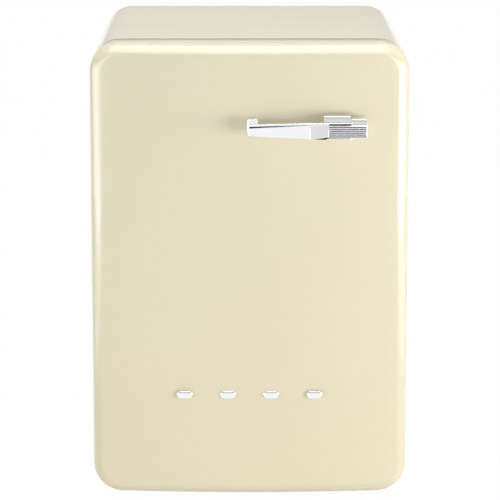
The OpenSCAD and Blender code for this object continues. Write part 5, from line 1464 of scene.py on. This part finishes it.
class FRIDGE_OT_controls(Operator):
    """Makes the control housing, the ribbed lamp cover and the thermostat knob"""
    bl_idname = "fridge.controls"
    bl_label = "Controls"

    def execute(self, context):
        low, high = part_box("control_housing")
        base = rim((high[1] - low[1]) / 2 - 0.010, (high[2] - low[2]) / 2 - 0.010, 8)
        ease = np.linspace(0.0, math.pi / 2, 7)
        profile = np.concatenate([
            np.stack([0.0045 * (1 - np.sin(ease)), 0.0045 * (1 - np.cos(ease))], 1),
            [[0, 0.020], [0.0006, 0.0204], [0.0006, 0.0212], [0, 0.0216],
             [0, high[0] - low[0]]]]) + [0, low[0]]
        centre = ((low[1] + high[1]) / 2, (low[2] + high[2]) / 2)
        shell = solid(carried(base, 0.010, profile, "x", centre))
        knob_low, knob_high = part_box("thermostat_knob")
        knob_y = (knob_low[1] + knob_high[1]) / 2
        knob_z = (knob_low[2] + knob_high[2]) / 2
        ticks = []
        for i, angle in enumerate(np.radians(np.linspace(-130, 130, 8))):
            place = np.array([knob_y - 0.0245 * math.sin(angle),
                              knob_z + 0.0245 * math.cos(angle)])
            size = 0.0006 + 0.00018 * i
            ticks.append(rod(size, low[0] - 0.0003, low[0] + 0.001, "x", place, 12, 0.0002))
        piece("control_housing_shell", [shell], "white_gloss", "cabinet", "control_housing")
        piece("control_dial_dots", ticks, "grey_plastic", "cabinet")
        low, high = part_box("lamp_cover")
        u = np.linspace(low[1] + 0.0008, high[1] - 0.0008, 61)
        v = np.linspace(low[2] + 0.0008, high[2] - 0.0008, 12)
        y, z = np.meshgrid(u, v)
        far_y = np.clip(np.abs(y - (low[1] + high[1]) / 2) - (high[1] - low[1]) / 2 + 0.004, 0, 1)
        far_z = np.clip(np.abs(z - (low[2] + high[2]) / 2) - (high[2] - low[2]) / 2 + 0.004, 0, 1)
        dome = 0.0022 * (np.hypot(far_y, far_z) / 0.004) ** 2
        wave = 0.0003 * (1 + np.cos((y - low[1]) / (high[1] - low[1]) * 2 * math.pi * 15))
        x = low[0] + np.minimum(wave + dome, 0.004)
        outer = np.stack([x, y, z], -1)[:, ::-1]
        inner = outer + [0.0075, 0, 0]
        piece("lamp_cover_ribbed", [quilt(outer, inner)], "frosted_lens", "cabinet",
              "lamp_cover")
        low, high = knob_low, knob_high
        r = (high[1] - low[1]) / 2
        angle = np.arange(72) * 2 * math.pi / 72
        flute = 1 - 0.035 * (0.5 + 0.5 * np.cos(angle * 18)) ** 3
        levels = np.array([0.0, 0.0006, 0.0016, 0.0075, 0.0085, 0.0092])
        scale = np.array([0.90, 0.955, 0.975, 1.0, 0.99, 0.94])
        ring = circle(72)[3]
        flat = ring[None] * (r * scale[:, None] * flute[None])[..., None] + [knob_y, knob_z]
        skirt = solid(along("x", flat, (low[0] + 0.0066 + levels)[:, None]))
        bar_base = rim(0.0002, r - 0.0052, 8)
        bar_profile = np.array([[0.0032, 0.0], [0.0014, 0.0004], [0.0005, 0.0012],
                                [0.0, 0.0030], [-0.0004, 0.0075]]) + [0, low[0]]
        bar = solid(carried(bar_base, 0.0042, bar_profile, "x", (knob_y, knob_z)))
        shaft = rod(0.003, low[0] + 0.010, high[0], "x", (knob_y, knob_z), 20)
        piece("thermostat_knob_fluted", [skirt, shaft], "white_gloss", "thermostat_knob",
              "thermostat_knob")
        piece("thermostat_knob_bar", [bar], "grey_plastic", "thermostat_knob")
        return {"FINISHED"}


# ---- Stage ----

def lamp(name, place, aim, size, power, receivers=None):
    """Rectangular studio lamp at a place, turned towards a point. With receivers, a collection,
    it is seen in their gloss only and adds no even light."""
    data = bpy.data.lights.new(name, "AREA")
    data.shape = "RECTANGLE"
    data.size, data.size_y = size
    data.energy = power
    made = bpy.data.objects.new(name, data)
    bpy.context.scene.collection.objects.link(made)
    made.location = place
    made.visible_camera = False
    if receivers is not None:
        made.visible_diffuse = False
        made.light_linking.receiver_collection = receivers
    way = np.array(aim, float) - np.array(place, float)
    flat = math.hypot(way[0], way[1])
    made.rotation_euler = (math.atan2(flat, -way[2]), 0.0, math.atan2(-way[0], way[1]))
    return made


def seen_directly(tree):
    """1 for rays from the camera and for reflected and transmitted ones, else 0."""
    path = put(tree, "ShaderNodeLightPath").outputs
    either = put(tree, "ShaderNodeMath", {0: path["Is Camera Ray"], 1: path["Is Glossy Ray"]},
                 operation="MAXIMUM")
    return put(tree, "ShaderNodeMath", {0: either.outputs[0],
                                        1: path["Is Transmission Ray"]},
               operation="MAXIMUM").outputs[0]


# Each studio lamp: its name, place, aim, size, the power that it takes and its share of it. The
# gloss lamps are received by the door's enamel only.
STUDIO_LAMPS = (
    ("lamp_left", (-2.4, -1.5, 0.45), (-0.1, -0.2, 0.6), (1.8, 1.1), "key", 0.6),
    ("lamp_right", (2.4, -1.9, 0.45), (0.1, -0.2, 0.6), (2.2, 1.1), "key", 1.7),
    ("lamp_above", (0.0, -0.3, 2.9), (0.0, 0.0, 0.6), (2.4, 0.8), "top", 1.0),
    ("gloss_above", (0.0, -2.2, 3.0), (0.0, -0.3, 0.88), (4.0, 2.8), "gloss", 1.0),
    ("gloss_left", (-2.4, -1.5, 0.65), (-0.3, -0.3, 0.45), (4.2, 1.3), "gloss", 0.5),
    ("gloss_right", (2.4, -1.5, 0.65), (0.3, -0.3, 0.45), (4.2, 1.3), "gloss", 0.55),
    ("gloss_low_left", (-2.0, -1.6, 0.004), (-2.0, -1.6, 1.0), (1.4, 3.0), "gloss", 0.25),
    ("gloss_low_right", (2.0, -1.6, 0.004), (2.0, -1.6, 1.0), (1.4, 3.0), "gloss", 0.25),
)
FLOOR_HALF = 30.0
FLOOR_POINTS = 13
LENS_MM = 179.9
CAMERA_SHIFT = -0.12
CAMERA_PLACE = (-0.0114, -4.9124, 1.4698)
CAMERA_TILT = 10.563
CAMERA_YAW = -0.151


class FRIDGE_OT_stage(Operator):
    """Sets up the pale floor and backdrop, the studio lamps and the camera"""
    bl_idname = "fridge.stage"
    bl_label = "Stage"

    def execute(self, context):
        scene = context.scene
        given = scene.fridge_stage
        line = np.linspace(-FLOOR_HALF, FLOOR_HALF, FLOOR_POINTS)
        points = np.stack([*np.meshgrid(line, line), np.zeros((FLOOR_POINTS, FLOOR_POINTS))], -1)
        ids = np.arange(FLOOR_POINTS ** 2).reshape(FLOOR_POINTS, FLOOR_POINTS)
        quads = np.stack([ids[:-1, :-1], ids[:-1, 1:], ids[1:, 1:], ids[1:, :-1]], -1)
        mesh = bpy.data.meshes.new("studio_floor")
        mesh.from_pydata(points.reshape(-1, 3).tolist(), [], quads.reshape(-1, 4).tolist())
        sweep = bpy.data.objects.new("studio_floor", mesh)
        scene.collection.objects.link(sweep)
        floor = bpy.data.materials.new("studio_paper")
        floor.use_nodes = True
        tree = floor.node_tree
        tree.nodes.clear()
        paper = placed(tree, "tones", Tone_A=rgba(given.floor),
                       Tone_B=rgba(dimmed(given.floor, 0.98)), Scale=0.8, Mottle=0.1)["Color"]
        plain = put(tree, "ShaderNodeBsdfDiffuse", {"Color": paper})
        glow = put(tree, "ShaderNodeEmission", {"Color": (1, 1, 1, 1), "Strength": 1.0})
        share = put(tree, "ShaderNodeMath", {0: seen_directly(tree), 1: 0.98},
                    operation="MULTIPLY")
        both = put(tree, "ShaderNodeMixShader", {0: share.outputs[0], 1: plain.outputs[0],
                                                 2: glow.outputs[0]})
        put(tree, "ShaderNodeOutputMaterial", {"Surface": both.outputs[0]})
        mesh.materials.append(floor)

        world = bpy.data.worlds.new("studio_light")
        scene.world = world
        world.use_nodes = True
        tree = world.node_tree
        tree.nodes.clear()
        way = put(tree, "ShaderNodeSeparateXYZ",
                  {0: put(tree, "ShaderNodeTexCoord").outputs["Generated"]}).outputs
        behind = put(tree, "ShaderNodeMapRange", {0: way[1], 1: -0.4, 2: 0.6, 3: 0.8,
                                                  4: 0.6})
        ceiling = put(tree, "ShaderNodeMapRange", {0: way[2], 1: 0.15, 2: 0.75,
                                                   3: behind.outputs[0], 4: given.ceiling},
                      interpolation_type="SMOOTHSTEP")
        path = put(tree, "ShaderNodeLightPath").outputs
        shine = put(tree, "ShaderNodeMix", {0: path["Is Glossy Ray"], 2: given.world_level,
                                            3: ceiling.outputs[0]})
        beyond = put(tree, "ShaderNodeMath", {0: path["Is Camera Ray"],
                                              1: path["Is Transmission Ray"]},
                     operation="MAXIMUM")
        level = put(tree, "ShaderNodeMix", {0: beyond.outputs[0], 2: shine.outputs[0],
                                            3: 1.0})
        back = put(tree, "ShaderNodeBackground", {"Color": (1, 1, 1, 1),
                                                  "Strength": level.outputs[0]})
        put(tree, "ShaderNodeOutputWorld", {"Surface": back.outputs[0]})

        glossy = bpy.data.collections.new("glossy_door")
        for made in scene.objects:
            if made.name == "door_enamel_skin":
                glossy.objects.link(made)
        powers = {"key": given.key_power, "top": given.top_power, "gloss": given.gloss_power}
        for name, place, aim, size, kind, share in STUDIO_LAMPS:
            lamp(name, place, aim, size, share * powers[kind],
                 glossy if kind == "gloss" else None)

        lens_low, lens_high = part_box("lamp_cover")
        lens_y = (lens_low[1] + lens_high[1]) / 2
        lens_z = (lens_low[2] + lens_high[2]) / 2
        lamp("lamp_inside", (lens_low[0] - 0.002, lens_y, lens_z), (0.0, lens_y, lens_z),
             (0.05, 0.045), given.inside_power)

        data = bpy.data.cameras.new("camera")
        data.lens = LENS_MM
        data.shift_y = CAMERA_SHIFT
        data.clip_end = 60.0
        camera = bpy.data.objects.new("camera", data)
        scene.collection.objects.link(camera)
        camera.location = CAMERA_PLACE
        camera.rotation_euler = (math.radians(90.0 - CAMERA_TILT), 0.0, math.radians(CAMERA_YAW))
        scene.camera = camera
        scene.view_settings.view_transform = "Standard"
        return {"FINISHED"}


class FRIDGE_OT_cad_finishes(Operator):
    """Gives every CAD node that is still shown its own finish"""
    bl_idname = "fridge.cad_finishes"
    bl_label = "CAD nodes' finishes"

    def execute(self, context):
        for row in frame["record"]["subparts"]:
            node = frame["nodes"][row["node"]]
            node.data.materials.clear()
            node.data.materials.append(finish(row["material_slot"]))
        return {"FINISHED"}


class FRIDGE_PT_panel(Panel):
    """Lists the sizes, colours and steps that make the fridge"""
    bl_idname = "FRIDGE_PT_panel"
    bl_label = "Mini fridge"
    bl_space_type = "VIEW_3D"
    bl_region_type = "UI"
    bl_category = "Fridge"

    def draw(self, context):
        for settings in ("fridge_sizes", "fridge_colours", "fridge_stage"):
            group_ = getattr(context.scene, settings)
            box_ = self.layout.box()
            for key in group_.__annotations__:
                box_.prop(group_, key)
        for step in STEPS:
            self.layout.operator(step.bl_idname, text=step.bl_label)


STEPS = (
    FRIDGE_OT_cad_finishes,
    FRIDGE_OT_door_skin,
    FRIDGE_OT_cabinet_shell,
    FRIDGE_OT_handle,
    FRIDGE_OT_trim_studs,
    FRIDGE_OT_condenser,
    FRIDGE_OT_compressor,
    FRIDGE_OT_feet,
    FRIDGE_OT_gasket,
    FRIDGE_OT_door_bins,
    FRIDGE_OT_shelves,
    FRIDGE_OT_crisper,
    FRIDGE_OT_ice_box,
    FRIDGE_OT_controls,
    FRIDGE_OT_stage,
)
CLASSES = (FridgeSizes, FridgeColours, StageSettings, *STEPS, FRIDGE_PT_panel)


def register():
    """Registers the classes and puts the settings on the scene."""
    for item in CLASSES:
        bpy.utils.register_class(item)
    bpy.types.Scene.fridge_sizes = PointerProperty(type=FridgeSizes)
    bpy.types.Scene.fridge_colours = PointerProperty(type=FridgeColours)
    bpy.types.Scene.fridge_stage = PointerProperty(type=StageSettings)


def unregister():
    """Takes the settings and the classes away again."""
    del bpy.types.Scene.fridge_sizes
    del bpy.types.Scene.fridge_colours
    del bpy.types.Scene.fridge_stage
    for item in reversed(CLASSES):
        bpy.utils.unregister_class(item)


def main():
    """Builds every piece and the stage."""
    register()
    for step in STEPS:
        group_name, name = step.bl_idname.split(".")
        getattr(getattr(bpy.ops, group_name), name)()


if __name__ == "__main__":
    main()
